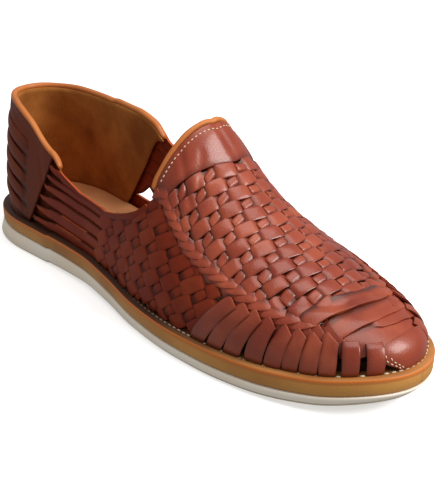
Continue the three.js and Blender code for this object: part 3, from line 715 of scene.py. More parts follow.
for name, (dark, light, roughness, pores, clouds, bump) in PLAIN_LEATHERS.items():
    tree, shader = new_material(name, roughness)
    grain = add_node(tree, "Group", grain_group, Pores=pores, Clouds=clouds, Wrinkles=0.4)
    colour = mix_colour(tree, grain.outputs["Cloud"], linear(*dark), linear(*light))
    # Painted shade: the footbed darker toward the toe, the welt's thread and top darker toward the
    # heel
    if name in SHADES:
        start, end, shade, ahead = SHADES[name]
        ends = (colour, linear(*shade)) if ahead else (linear(*shade), colour)
        colour = mix_colour(tree, fade_along(tree, start, end), *ends)
    if name == "Midsole leather":
        colour = mix_colour(tree, attribute(tree, "tone"), colour, linear(206, 112, 40))
        # Painted shade: dark brown in the groove below the welt and at the inset line above the
        # outsole
        colour = mix_colour(tree, attribute(tree, "dip"), colour, linear(70, 34, 12))
    feed(tree, shader.inputs["Base Color"], colour)
    add_bump(tree, shader, grain.outputs["Height"], bump)
print("materials:", ", ".join(materials))

# %% [markdown]
# ## The sole
# A flat sole is a stack of layers, each cut round the same outline and sanded flush. A layer here
# is a grid laid over the plan of the sole, whose open edge is extruded down from one level to the
# next. The levels round its corners, swell its edge, and press in the groove below the welt.


# %% Layers of the sole
def plan_place(level):
    inset, height = level

    def place(t, q):
        count = TIP_COLUMN * (1 - np.cos(math.pi * t)) / 2
        near = outline_point(count, inset(column_x(count)))
        far = outline_point(-count, inset(column_x(count)))
        flat = near + (far - near) * ((q + 1) / 2)[:, None]
        return np.column_stack([flat, height(flat[:, 0])])

    return place


def sole_layer(bm, levels, marks):
    start = sheet_on(bm, plan_place(levels[0]), 150, 6, tone=marks[0][0])
    bmesh.ops.remove_doubles(bm, verts=[v for v in start if v.is_valid], dist=2e-5)
    rim = [e for e in bm.edges if e.is_boundary]
    verts = sorted({v for e in rim for v in e.verts}, key=lambda v: v.co.x)
    columns = np.linspace(-TIP_COLUMN, TIP_COLUMN, 4001)
    first = outline_point(columns, levels[0][0](column_x(np.abs(columns))))
    first = to_metres(np.column_stack([first, 0 * columns]))[:, :2]
    column_of = {}
    for v in verts:
        gap = np.hypot(first[:, 0] - v.co.x, first[:, 1] - v.co.y)
        column_of[v] = float(columns[int(np.argmin(gap))])
    tone_layer = bm.verts.layers.float["tone"]
    dip_layer = bm.verts.layers.float["dip"]
    # Each level carries its tone and its painted shade
    for (inset, height), (tone, dip) in zip(levels[1:], marks[1:]):
        grown = bmesh.ops.extrude_edge_only(bm, edges=rim)["geom"]
        fresh = [g for g in grown if isinstance(g, bmesh.types.BMVert)]
        rim = [g for g in grown if isinstance(g, bmesh.types.BMEdge) and g.is_boundary]
        parents = {}
        for v in fresh:
            for e in v.link_edges:
                other = e.other_vert(v)
                if other in column_of and (other.co - v.co).length < 1e-9:
                    parents[v] = column_of[other]
        rows = np.array([parents[v] for v in fresh])
        flat = outline_point(rows, inset(column_x(np.abs(rows))))
        points = to_metres(np.column_stack([flat, height(flat[:, 0])]))
        column_of = dict(zip(fresh, rows))
        for v, point in zip(fresh, points):
            v.co = point
            v[tone_layer] = tone
            v[dip_layer] = dip
    cap = bmesh.ops.contextual_create(bm, geom=rim)["faces"]
    bmesh.ops.triangulate(bm, faces=cap)
    for f in bm.faces:
        f.smooth = True
        f.material_index = 0
    bmesh.ops.recalc_face_normals(bm, faces=bm.faces)


# %% Outsole: each level is an inset from the outline and a height, both along the shoe
def level(inset, height):
    return (lambda x: inset + 0 * x, height)


def flared(inset, height):
    return (lambda x: inset - edge_flare(x), height)


TREAD_HEIGHT = 0.00118
bm = new_bmesh()
sole_layer(
    bm,
    [
        level(0.5, lambda x: outsole_top(x) - 0.15),
        level(0.0, lambda x: outsole_top(x) - 0.5),
        (lambda x: -0.4 * edge_flare(x), lambda x: outsole_top(x) * 0.6 + floor_lift(x) * 0.4),
        flared(0.0, lambda x: floor_lift(x) + 1.4),
        flared(0.35, lambda x: floor_lift(x) + 1.15),
        flared(0.1, lambda x: floor_lift(x) + 0.9),
        flared(0.9, floor_lift),
    ],
    [(0, 0)] * 7,
)
for f in bm.faces:
    low = max(v.co.z - floor_lift((v.co.x + SHIFT[0] / 1000) * 1000) / 1000 for v in f.verts)
    f.material_index = 1 if low < TREAD_HEIGHT else 0
finish_piece("sole_of_rubber", bm, ["Cream rubber", "Dark tread"], replaces=["outsole"])

# %% Midsole: below the top of the feather, then above the outsole
bm = new_bmesh()
below = [(0.9, 0), (0.25, 0.25), (0, 0.9), (0, 1.7), (0.12, 2.2), (0.05, 2.7), (0, 4.4)]
above = [(0.15, 1.2), (0.6, 0.3)]
sole_layer(
    bm,
    [level(inset, lambda x, down=down: feather_height(x) - down) for inset, down in below]
    + [level(inset, lambda x, up=up: outsole_top(x) + up) for inset, up in above],
    # Per level: share of the orange top bead, then painted shade
    [(0.3, 0), (1, 0), (1, 0), (0.7, 0), (0.35, 0.1), (0.1, 0), (0, 0), (0, 0), (0, 0.35)],
)
for f in bm.faces:
    if f.normal.z > 0.8:
        f.material_index = 1
finish_piece(
    "midsole_and_welt", bm, ["Midsole leather", "Welt top"], replaces=["midsole"]
)

# %% [markdown]
# ## The woven vamp
# Wide straps cross the vamp and narrower ones run along it, over one and under one. Where a cross
# strap comes up it spreads and rounds like a pillow; where it goes down it narrows. So the height
# of each strap is a flattened cosine of its place in the weave, and its width follows the height.

# %% Weave of the vamp
CROSS_PITCH, LONG_PITCH = 6.15, 9.0
CROSS_WIDE, CROSS_NARROW = 7.5, 5.6
LONG_WIDTH = 6.1
WEAVE_START, WEAVE_END = 190.5, 260.0
FIRST_LONG = -6.5
CROSS_LEAN = 0.3
OVER, UNDER = 0.55, -0.95


def swing(phase, bias=0.0, crisp=2.1):
    return np.tanh(crisp * (np.cos(math.pi * phase) + bias)) / math.tanh(crisp)


def weave_height(up):
    return (OVER + UNDER) / 2 + (OVER - UNDER) / 2 * up


def lean_back(u, v):
    fade = 1 - smooth_step((u - 225) / 45)
    return CROSS_LEAN * (np.sqrt(v * v + 16) - 4) * fade


ridge_start = np.interp(WEAVE_START, U_GRID, RIDGE_ARC)


def cross_index(u, v):
    return (np.interp(u + lean_back(u, v), U_GRID, RIDGE_ARC) - ridge_start) / CROSS_PITCH


def cross_u(index, v):
    straight = np.interp(index * CROSS_PITCH + ridge_start, RIDGE_ARC, U_GRID)
    u = straight
    for _ in range(4):
        u = straight - lean_back(u, v)
    return u


def long_index(v):
    return (v - FIRST_LONG) / LONG_PITCH


def edge_of_strap(index, side):
    v = 30.0
    for _ in range(12):
        v = 0.5 * v + 0.5 * float(vamp_edge(side, cross_u(index, -side * v)))
    return v


# %% Cross straps
rng = np.random.default_rng(7)
DARK_EDGED = ["Woven strap leather", "Strap cut edge"]
PALE_EDGED = ["Woven strap leather", "Raw cut edge"]
TUCK = 3.0
BIAS = 0.42


def cross_strap(bm, i, start, end):
    def across(t):
        return start + (end - start) * t

    def centre(t):
        return cross_u(i, across(t)), across(t)

    def rise(t):
        return swing(long_index(across(t)) - i, BIAS)

    def width(t):
        slope = np.interp(cross_u(i, across(t)), U_GRID[1:], np.diff(U_GRID) / np.diff(RIDGE_ARC))
        return slope * (CROSS_NARROW + (CROSS_WIDE - CROSS_NARROW) * smooth_step(rise(t) + 0.6))

    def height(t, q):
        v, up = across(t), rise(t)
        tuck = smooth_step((3.5 - np.minimum(v - start, end - v)) / 3.5)
        crown = -0.3 * np.abs(q) ** 4 * (0.6 + 0.4 * up)
        middle = np.clip(np.cos(math.pi * (long_index(v) - i)), 0, 1)
        return weave_height(up) + crown + 0.2 * (1 - q * q) * middle - 1.2 * tuck

    # Painted shade: darker where the cross strap goes under a long strap, and along its edges
    def dip(t, q):
        return np.clip(0.42 - 0.62 * rise(t) + 0.7 * np.abs(q) ** 9, 0, 1)

    steps = max(int((end - start) / LONG_PITCH * 10), 8)
    ribbon(bm, vamp_surface, centre, width, height, steps, 8, dip=dip, tone=rng.uniform(0.35, 1))


bm = new_bmesh()
cross_count = int((np.interp(EDGE[OUTER][-1, 0], U_GRID, RIDGE_ARC) - ridge_start) / CROSS_PITCH)
for i in range(cross_count + 1):
    reach = [edge_of_strap(i, side) for side in (OUTER, INNER)]
    if min(reach) >= 3 and float(cross_u(i, 0.0)) <= WEAVE_END:
        cross_strap(bm, i, -reach[0] - TUCK, reach[1] + TUCK)
finish_piece(
    "vamp_cross_straps", bm, DARK_EDGED, thickness=1.25, bevel=0.25, replaces=["upper"]
)


# %% Long straps
def long_strap(bm, j, v_middle, start, end):
    def along(t):
        return start + (end - start) * t

    def centre(t):
        return along(t), v_middle + 0 * t

    def rise(t):
        return -swing(cross_index(along(t), v_middle) - j, BIAS, 3.6)

    def width(t):
        return LONG_WIDTH + 0.3 * rise(t)

    def height(t, q):
        ends = sum(smooth_step(1 - rest * (end - start) / 4) for rest in (t, 1 - t))
        return weave_height(rise(t)) - 0.1 - 0.2 * np.abs(q) ** 5 - 1.5 * ends

    # Painted shade: darker where the long strap goes under, and along its inner edge where its
    # neighbour's shadow falls
    def dip(t, q):
        return np.clip(0.42 - 0.6 * rise(t) + 0.9 * smooth_step((q - 0.55) / 0.45), 0, 1)

    steps = max(int((end - start) / CROSS_PITCH * 10), 8)
    ribbon(bm, vamp_surface, centre, width, height, steps, 6, dip=dip, tone=rng.uniform(0.35, 1))


bm = new_bmesh()
for j in range(-4, 6):
    v_middle = FIRST_LONG + LONG_PITCH * j
    side = OUTER if v_middle < 0 else INNER
    ahead = np.linspace(180, EDGE[side][-1, 0] + 2, 200)
    ahead = ahead[vamp_edge(side, ahead) > abs(v_middle) - 1]
    start = WEAVE_START - 4.5 - lean_back(WEAVE_START, v_middle)
    if len(ahead) >= 5 and ahead[-1] >= start + 8:
        long_strap(bm, j, v_middle, start, min(ahead[-1] + 2.5, WEAVE_END + TUCK))
finish_piece("vamp_long_straps", bm, PALE_EDGED, thickness=1.25, bevel=0.2)


# %% [markdown]
# ## The plain band behind the weave
# The back of the vamp is one plain piece of leather. It is a sheet between the throat and the
# weave, laid on the same surface, with a soft rise in the middle from the foot inside.

# %% Plain band
def throat_u(v):
    reach = np.where(v < 0, vamp_edge(OUTER, THROAT_X + 2), vamp_edge(INNER, THROAT_X + 2))
    return THROAT_X + 7.4 * (1 - np.clip(np.abs(v) / reach, 0, 1))


def band_place(t, q):
    low = -float(vamp_edge(OUTER, THROAT_X + 6)) - TUCK
    high = float(vamp_edge(INNER, THROAT_X + 6)) + TUCK
    v = low + (high - low) * (q + 1) / 2
    back = throat_u(v)
    u = back + (WEAVE_START - 2.5 - lean_back(WEAVE_START, v) - back) * t
    drop = 0.5 * smooth_step((t - 0.85) / 0.15) + 0.6 * smooth_step((np.abs(q) - 0.9) / 0.1)
    return vamp_surface(u, v, 0.2 - drop)


# Painted shade: darker where the band tucks under the weave and along its two sides
def band_dip(t, q):
    return 0.35 * smooth_step((t - 0.8) / 0.2) + 0.25 * np.abs(q) ** 6


bm = new_bmesh()
sheet_on(bm, band_place, 16, 60, dip=band_dip, tone=0.45)
finish_piece("plain_vamp_band", bm, DARK_EDGED, thickness=1.4, bevel=0.3)

# %% [markdown]
# ## The braid
# The ends of the cross straps fold over and are laced down along both sides of the vamp, and the
# two rows meet round the toe. Each fold is a short tab that overlaps the next like a roof tile,
# so it is tilted: its upper edge stands up and shows the cut leather.

# %% Braid tabs
BRAID_STEP, TOE_STEP = 5.6, 7.4
TOE_START = 224
# Turn in degrees, length, width and start across the braid, then the height and how deep it tucks
BRAID_ROWS = {
    "upper": (22, 12.0, 4.9, -1.2, 0.85, 0.5),
    "lower": (-30, 9.5, 5.0, 0.6, 0.5, 1.1),
}


def braid_places():
    places, q = [], BRAID_STEP / 2
    while q < BRAID_LENGTH:
        station = float(braid_surface(np.array([q]), 0.0, np.zeros(1))[0, 0])
        places.append((q, station))
        q += TOE_STEP if station > TOE_START else BRAID_STEP
    return places


def braid_tab(bm, q_middle, row, flow, grow):
    turn, long, wide, p_start, lift, tuck = BRAID_ROWS[row]
    run, climb = long * math.cos(math.radians(turn)), long * math.sin(math.radians(turn))
    upper_edge = flow if row == "lower" else -flow

    def centre(t):
        return q_middle + flow * run * (t - 0.45), p_start + climb * t

    def width(t):
        return wide * grow * (0.72 + 0.28 * np.sin(math.pi * np.clip(0.1 + 0.9 * t, 0, 1)))

    def height(t, q):
        ends = smooth_step((0.25 - t) / 0.25) + tuck * smooth_step((t - 0.75) / 0.25)
        return lift + 0.62 * upper_edge * q - 0.12 * np.abs(q) ** 3 - ends

    # Painted shade: darker on the edge tucked under the next tab and at the start of the tab
    def dip(t, q):
        under = smooth_step((-upper_edge * q - 0.1) / 0.8)
        return np.clip(0.75 * under + 0.4 * smooth_step((0.2 - t) / 0.2), 0, 1)

    ribbon(bm, braid_surface, centre, width, height, 8, 4, dip=dip, tone=rng.uniform(0.4, 1.0))


bm = new_bmesh()
for q_middle, station in braid_places():
    flow = 1 if q_middle < BRAID_LENGTH / 2 else -1
    row_ends = {"upper": 258 if flow == 1 else 272, "lower": TOE_START}
    for row, row_end in row_ends.items():
        if station <= row_end:
            braid_tab(bm, q_middle, row, flow, 1.25 if station > TOE_START else 1.0)
finish_piece("braid_tabs", bm, PALE_EDGED, thickness=1.0, bevel=0.2)

# %% [markdown]
# ## The side walls
# From the quarter forward, two sets of straps cross on a slant, one rising toward the toe and one
# falling. Both are straight lines in the wall's own coordinates, so the same flattened cosine
# weaves them. They stop where they meet the sole, the topline or the braid.

# %% Slanted weave of the walls
RISING, FALLING = math.radians(38), math.radians(37.5)
RISE_RUN, FALL_RUN = 1 / math.tan(RISING), 1 / math.tan(FALLING)
RISE_PITCH = 5.95 / math.sin(RISING)
FALL_PITCH = 10.35 / math.sin(FALLING)
WALL_START, WALL_END = 118.0, 222.0
CORNER_X, CORNER_W = 174.0, 23.9
RAW_SHARE = 0.7


def slanted_strap(bm, side, surface, k, rising, begin, low, high):
    slant = RISE_RUN if rising else -FALL_RUN
    s0 = begin[rising] + k * (RISE_PITCH if rising else FALL_PITCH)

    def climb(t):
        return low + (high - low) * t

    def centre(t):
        up = climb(t)
        return s0 + slant * up + 0.35 * np.sin(0.21 * up + 2.3 * k), up

    def rise(t):
        up = climb(t)
        s = s0 + slant * up
        if rising:
            return swing((s + FALL_RUN * up - begin[False]) / FALL_PITCH - k, 0.38, 4.2)
        return -swing((s - RISE_RUN * up - begin[True]) / RISE_PITCH - k, 0.1, 3.0)

    def width(t):
        wide, narrow = (7.3, 6.9) if rising else (8.4, 8.1)
        return narrow + (wide - narrow) * (rise(t) * 0.5 + 0.5)

    def height(t, q):
        up = rise(t)
        foot = smooth_step((2.5 - climb(t)) / 2.5)
        sunk = 0.0 if rising else 0.25 * (up > 0)
        return weave_height(up) + 0.1 - sunk - 0.2 * np.abs(q) ** 5 - 0.5 * foot

    # Painted shade: darker where a strap goes under the crossing straps and on its edges, and for
    # falling straps along one whole side
    def dip(t, q):
        edge = 0.4 * np.abs(q) ** 9 if rising else 0.9 * smooth_step((0.3 + q) / 1.2)
        return np.clip((0.42 if rising else 0.5) - 0.6 * rise(t) + edge, 0, 1)

    steps = max(int((high - low) / 0.8), 8)
    raw = not rising and rng.uniform() < RAW_SHARE
    ribbon(
        bm, surface, centre, width, height, steps, 7, dip=dip,
        tone=rng.uniform(0.2, 0.9), flip=side == INNER, material=2 if raw else 0,
    )


def slanted_straps(bm, side):
    wall = wall_surface(side)

    def over_topline(s, ahead, behind):
        return wall_top(side, s) + np.where(s > run_at(side, THROAT_X - 4), ahead, behind)

    def surface(s, w, offset):
        return wall(s, np.minimum(w, over_topline(s, 3.0, -0.5)), offset)

    corner = run_at(side, CORNER_X)
    begin = {
        True: corner - CORNER_W * RISE_RUN,
        False: corner + 5.2 + (CORNER_W + 4.1) * FALL_RUN,
    }
    first, last = run_at(side, WALL_START), run_at(side, WALL_END)
    w = np.linspace(0.3, 75, 300)
    for rising in (True, False):
        for k in range(-18, 19):
            s = begin[rising] + k * (RISE_PITCH if rising else FALL_PITCH)
            s = s + (RISE_RUN if rising else -FALL_RUN) * w
            inside = w[
                (w < over_topline(s, 1.5, -0.3))
                & (s > first + w * 0.35)
                & (s < last - 0.35 * w + 4)
            ]
            if len(inside) >= 14:
                slanted_strap(bm, side, surface, k, rising, begin, inside[0], inside[-1])


for side, name in ((OUTER, "outer_wall_weave"), (INNER, "inner_wall_weave")):
    bm = new_bmesh()
    slanted_straps(bm, side)
    finish_piece(
        name, bm, ["Side strap leather", "Strap cut edge", "Side strap leather", "Raw cut edge"],
        thickness=1.25, bevel=0.2,
    )

# %% [markdown]
# ## Toe straps
# Round the toe the straps stand nearly upright on the welt, a little apart, so that the dark inside
# of the shoe shows between them. At the top each one is cut to a slanted point, and the tail of
# the strap behind it comes out from under that cut and runs back up to the braid. The two straps
# nearest the tip are cut off square.

# %% Upright straps round the toe
# Left and right edge at the welt, corner at the top, its drop below the braid, height of the point
TOE_STRAPS = [
    (206.4, 215.2, 229.4, 1.8, 4.2),
    (217.0, 225.4, 236.6, 1.2, 4.4),
    (226.8, 235.7, 242.8, 1.3, 4.8),
    (238.3, 247.2, 249.9, 1.4, 4.8),
    (248.1, 256.0, 258.9, 2.3, 4.8),
    (256.8, 263.3, 265.9, 1.7, 4.0),
    (264.3, 271.5, 273.3, 2.7, 4.6),
    (272.4, 278.6, 280.1, 2.3, 5.2),
    (281.2, 286.7, 288.4, 2.4, 0.0),
    (289.4, 294.3, 296.0, 5.2, 0.0),
]
TOE_TOP_WIDTH = 7.9
APEX = -0.3


def toe_strap(bm, side, left_x, right_x, corner_x, drop, point):
    surface = wall_surface(side)
    left, right, corner = (float(run_at(side, x)) for x in (left_x, right_x, corner_x))
    corner_w = float(wall_top(side, corner)) - drop

    def place(t, q):
        lean = t**1.15
        near = left + (corner - TOE_TOP_WIDTH - left) * lean
        far = right + (corner - right) * lean
        top = corner_w + point * np.where(q > APEX, (1 - q) / 1.3, 1.3 + q)
        bow = (0.85 - 0.3 * np.abs(q) ** 4) * (0.6 + 0.4 * np.sin(math.pi * np.clip(t, 0, 1)))
        tile = 0.55 * q * smooth_step((t - 0.45) / 0.4)
        if not point:
            tile = -0.7 * smooth_step((t - 0.8) / 0.2)
        return surface(near + (far - near) * (q + 1) / 2, 0.3 + (top - 0.3) * t, bow + tile)

    # Painted shade: darker at the foot on the welt, toward the side of the point where the tail
    # comes out, and along the edges
    def dip(t, q):
        ends = 0.75 * smooth_step((0.14 - t) / 0.14) + 0.4 * smooth_step((APEX - q) / 0.7) * t
        return np.clip(0.05 + ends + 0.35 * np.abs(q) ** 11, 0, 1)

    def centre(t):
        return corner + 2.4 - 11.0 * t, corner_w - 3.0 + 12.5 * t

    def height(t, q):
        ends = smooth_step(t / 0.3) - smooth_step((t - 0.75) / 0.25)
        return -0.6 + ends - 0.35 * q

    # Painted shade on the tail: darker on the side next to the strap in front and where it comes
    # out from under
    def shade(t, q):
        behind = 0.7 * smooth_step((q - 0.1) / 0.9)
        return np.clip(0.15 + behind + 0.5 * smooth_step((0.2 - t) / 0.2), 0, 1)

    flip = side == INNER
    sheet_on(bm, place, 20, 10, dip=dip, tone=rng.uniform(0.4, 0.95), flip=flip)
    if point:
        ribbon(
            bm, surface, centre, lambda t: 6.6 + 0 * t, height, 12, 6,
            dip=shade, tone=rng.uniform(0.3, 0.8), flip=flip,
        )


bm = new_bmesh()
for side in (OUTER, INNER):
    for strap in TOE_STRAPS:
        toe_strap(bm, side, *strap)
finish_piece("toe_straps", bm, DARK_EDGED, thickness=1.3, bevel=0.2)

# %% [markdown]
# ## Flat straps at the end of the vamp
# The last cross straps are no longer woven. They lie flat over each other like shingles, a little
# turned against the rows before them, and cover the ends of the long straps. Each is a ribbon
# through a few places measured on the vamp.

# %% Flat end straps: places on the vamp, width and height
END_STRAPS = [
    (((256.5, -31), (260.0, -20), (264.0, -6), (266.0, 8), (264.0, 21)), 8.4, 0.9),
    (((268.0, -27), (271.0, -16), (273.5, -4), (273.5, 9), (270.5, 23)), 9.8, 0.45),
    (((277.0, -8), (279.0, 2), (278.5, 12), (275.0, 25)), 8.6, 0.25),
    (((273.5, -28), (279.6, -18), (283.4, -7), (284.4, 4), (283.0, 18)), 12.4, -0.15),
]


def end_strap(bm, points, wide, lift):
    line = np.array(points, dtype=float)
    places = np.linspace(0, 1, len(line))

    def centre(t):
        t = np.clip(t, 0, 1)
        bend = smooth_step(t) * 0.15 + t * 0.85
        return np.interp(bend, places, line[:, 0]), np.interp(t, places, line[:, 1])

    def width(t):
        return wide * (0.62 + 0.38 * smooth_step(np.minimum(t, 1.0 - t) / 0.14))

    def height(t, q):
        ends = smooth_step((0.08 - t) / 0.08) + smooth_step((t - 0.9) / 0.1)
        return lift - 0.3 * q - 0.1 * np.abs(q) ** 4 - 0.7 * ends + 0.12 * np.sin(9 * t + 3 * q)

    # Painted shade: darker on the side that lies under the next strap, and at its start
    def dip(t, q):
        under = 0.75 * smooth_step((q - 0.15) / 0.7)
        return np.clip(0.05 + under + 0.5 * smooth_step((0.08 - t) / 0.08), 0, 1)

    ribbon(bm, vamp_surface, centre, width, height, 44, 8, dip=dip, tone=rng.uniform(0.5, 1))


bm = new_bmesh()
for points, wide, lift in END_STRAPS:
    end_strap(bm, points, wide, lift)
finish_piece("vamp_end_straps", bm, DARK_EDGED, thickness=1.2, bevel=0.2)

# %% [markdown]
# ## The leaf on the toe
# A plain leaf of leather is sewn over the tip, where straps would wear through. It is one grid
# whose sides are drawn in toward both ends, so that its outline is a rounded shield.

# %% Toe leaf
def leaf_place(offset):
    def place(t, q):
        half = 9.2 + 7.4 * smooth_step(2 * t) - 1.2 * smooth_step((t - 0.7) / 0.3)
        across = q * half
        column = np.where(
            across < 0,
            count_at(OUTER, walls[OUTER]["run"][-1] + across),
            2 * TIP_COLUMN - count_at(INNER, walls[INNER]["run"][-1] - across),
        )
        climb = 0.6 + (14.0 + 5.0 * (1 - q * q)) * t
        share = climb / wall_value("length", column)
        return last_at(column, share, offset - 0.25 * np.abs(q) ** 6)

    return place


# Painted shade: darker at the foot of the leaf and along its sides
def leaf_dip(t, q):
    return np.clip(0.3 * smooth_step((0.15 - t) / 0.15) + 0.2 * np.abs(q) ** 8, 0, 1)


LEAF_HEIGHT = 1.7
bm = new_bmesh()
sheet_on(bm, leaf_place(LEAF_HEIGHT), 22, 24, flip=True, tone=0.35, dip=leaf_dip)
finish_piece(
    "toe_leaf", bm, PALE_EDGED, thickness=1.1, bevel=0.3, replaces=["toe_cap"]
)

# %% [markdown]
# ## Quarter straps
# Six straps come out of the slits in the counter and fan forward. At the slit each one is folded
# narrow; a hand's breadth ahead it lies flat and overlaps the next one a little. Between them the
# quarter is open.

# %% Quarter straps
SLIT_X = [52.5, 56.5, 60.5, 64.0, 67.0, 69.5]
SLIT_HEIGHT = [5.0, 12.5, 20.0, 27.5, 34.0, 39.5]
QUARTER_FRONT = [134.0, 137.0, 140.0, 143.0, 146.0, 166.0]
FRONT_HEIGHT = [0.075, 0.27, 0.485, 0.68, 0.825]
FRONT_WIDTH = [5.6, 7.0, 7.0, 5.6, 4.4]
FOLD_WIDTH = 2.6
RAW_EDGE = {0: (0.32, 0.62), 1: (0.36, 0.66), 5: (0.0, 1.0)}
TOP_STRAP = 5


def quarter_strap(bm, side, k):
    surface = wall_surface(side)
    start = float(run_at(side, SLIT_X[k]))
    front = float(run_at(side, QUARTER_FRONT[k]))

    def along(t):
        return start + (front - start) * t

    def taper(s):
        return smooth_step((s - run_at(side, 116)) / 16)

    def front_line(s):
        level = np.clip(wall_top(side, np.maximum(s, run_at(side, 84.0))), 0, 62)
        if k == TOP_STRAP:
            return level - (FOLD_WIDTH - 1.2 * taper(s))
        if side == OUTER:
            return 34.0 * FRONT_HEIGHT[k]
        window = np.exp(-(((s - run_at(side, 97.0)) / 11) ** 2))
        return level * FRONT_HEIGHT[k] + window * (0.5 if k == 0 else 0.73 * (5 - k) ** 2)

    def centre(t):
        s = along(t)
        fan = np.interp(s, [start, run_at(side, 80.0), run_at(side, 102.0)], [0, 0.55, 1])
        slit = SLIT_HEIGHT[k] * (1.0 if side == OUTER else 1.35)
        return s, slit * (1 - fan) + front_line(s) * fan

    def width(t):
        s = along(t)
        if k == TOP_STRAP:
            return 2.8 + 2.6 * smooth_step((s - start) / 20) - 2.2 * taper(s)
        wider = 1.0 if side == OUTER else np.clip(wall_top(side, s), 0, 62) / 34.0
        spread = smooth_step((s - start) / 26.0)
        return FOLD_WIDTH + (FRONT_WIDTH[k] * wider + 0.3 - FOLD_WIDTH) * spread

    def height(t, q):
        s = along(t)
        out = smooth_step((s - start) / 9.0)
        fold = 1.1 * (1 - smooth_step((s - start) / 30.0))
        over = 1.2 * smooth_step((s - run_at(side, 124.0)) / 8.0) if k == TOP_STRAP else 0
        end = 0.7 * smooth_step((t - 0.9) / 0.1)
        tile = 0.5 * q - 0.2 * np.abs(q) ** 3
        return -0.9 + out + fold * out * (1 - q * q) + tile + over - end

    # Painted shade: darker where the strap comes out of its slit and along its edges, except where
    # a raw edge shows
    def dip(t, q):
        first, last = RAW_EDGE.get(k, (2, 2))
        raw = (t >= first) & (t <= last) & (q > 0)
        rim = np.where(raw, 0, smooth_step((np.abs(q) - 0.7) / 0.3))
        return np.clip(0.8 - smooth_step((along(t) - start) / 10.0) + rim, 0, 1)

    ribbon(
        bm, surface, centre, width, height, 60, 7,
        dip=dip, tone=rng.uniform(0.1, 0.7), flip=side == INNER,
    )


for side, name in ((OUTER, "outer_quarter_straps"), (INNER, "inner_quarter_straps")):
    bm = new_bmesh()
    for k in range(TOP_STRAP + 1):
        quarter_strap(bm, side, k)
    finish_piece(
        name, bm, ["Side strap leather", "Raw cut edge"], thickness=1.4, bevel=0.3
    )

# %% [markdown]
# ## The heel counter
# The counter is one stiff wrap of darker leather. Near the back four straps are threaded through
# slanted slits on each side and stand up like ribs, and the hide is pressed down between them.

# %% Counter
RIB_COUNT, RIB_START, RIB_PITCH, RIB_DROP = 5, 18.5, 9.8, 15.0


def counter_edge(side, w):
    low, high = run_at(side, 51.0), run_at(side, 84.0)
    return low + (high - low) * np.clip(w / 60.0, 0, 1) ** 0.9


def counter_at(side, t, q):
    guess = 30.0 + 0 * t
    for _ in range(8):
        s = t * counter_edge(side, guess)
        guess = (q + 1) / 2 * (wall_top(side, s) + 0.3)
    return t * counter_edge(side, guess), 0.3 + guess


def between_ribs(side, t, q):
    s, w = counter_at(side, t, q)
    rib = (w + RIB_DROP * s / run_at(side, 54.0) - RIB_START) / RIB_PITCH
    apart = np.abs(rib - np.round(rib)) * 2
    zone = smooth_step((rib + 0.6) / 0.2) * smooth_step((RIB_COUNT - 0.4 - rib) / 0.2)
    reach = smooth_step((s - 2) / 5) * smooth_step((run_at(side, 53.0) - s) / 5)
    return smooth_step((apart - 0.45) / 0.5) * zone * reach


def counter_half(bm, side):
    surface = wall_surface(side)

    def place(t, q):
        ripple = 0.12 * np.sin(9 * t + 5 * q) * np.sin(math.pi * t)
        relief = 0.15 + ripple + 0.25 * smooth_step((t - 0.72) / 0.2)
        return surface(*counter_at(side, t, q), relief - 0.5 * between_ribs(side, t, q))

    # Painted shade: darker along the foot and in the pressed-down hide between the ribs
    def dip(t, q):
        foot = 0.5 * smooth_step((-0.85 - q) / 0.15)
        return np.clip(foot + 0.08 + 0.8 * between_ribs(side, t, q), 0, 1)

    sheet_on(bm, place, 60, 64, flip=side == INNER, tone=0.45, dip=dip)


bm = new_bmesh()
for side in (OUTER, INNER):
    counter_half(bm, side)
bmesh.ops.remove_doubles(bm, verts=bm.verts, dist=2e-5)
finish_piece(
    "heel_wrap", bm, ["Counter leather"],
    thickness=1.5, bevel=0.3, replaces=["heel_counter"],
)


# %% Ribs threaded through the counter
def counter_rib(bm, side, w_back):
    start = float(run_at(side, 6.0))
    end = float(run_at(side, 49.0 + 0.13 * w_back))

    def centre(t):
        return start + (end - start) * t, w_back - RIB_DROP * t

    def width(t):
        return 4.0 + 4.0 * np.sin(math.pi * np.clip(t, 0, 1)) ** 0.6

    def height(t, q):
        arch = np.sin(math.pi * np.clip(t, 0, 1)) ** 0.55
        return -0.9 + 2.3 * arch - 0.6 * np.abs(q) ** 2.4

    # Painted shade: darker at both ends, where the rib goes into the counter
    def dip(t, q):
        return np.clip(0.9 - 1.6 * np.sin(math.pi * t) + 0.3 * np.abs(q) ** 4, 0, 1)

    ribbon(
        bm, wall_surface(side), centre, width, height, 22, 7,
        dip=dip, tone=rng.uniform(0.3, 0.8), flip=side == INNER,
    )


bm = new_bmesh()
for side in (OUTER, INNER):
    for k in range(RIB_COUNT):
        counter_rib(bm, side, RIB_START + RIB_PITCH * k)
finish_piece(
    "counter_ribs", bm, ["Counter leather", "Strap cut edge"],
    thickness=1.2, bevel=0.3,
)

# %% [markdown]
# ## The lining
# Suede lines the heel as far forward as the flap on the inner side. It is a thin wall just inside
# the straps, with a slanted front edge.

# %% Lining, with the counter's leather on its back
LINING_FRONT = {OUTER: [84, 85, 86, 87, 86], INNER: [76, 88, 99, 108, 118]}


def lining_half(bm, side):
    surface = wall_surface(side)

    def place(t, q):
        rise = (q + 1) / 2
        s = t * run_at(side, np.interp(rise, np.linspace(0, 1, 5), LINING_FRONT[side]))
        low = 0.0 if side == INNER else 5.0 * smooth_step((s - run_at(side, 72.0)) / 8.0)
        ripple = 0.5 * (1 - q * q) * np.sin(7 * t + 2 * q)
        return surface(s, 4.0 + rise * (wall_top(side, s) - 3.2 - low), -2.9 + ripple)

    sheet_on(bm, place, 60, 24, flip=side == INNER, tone=0.5)


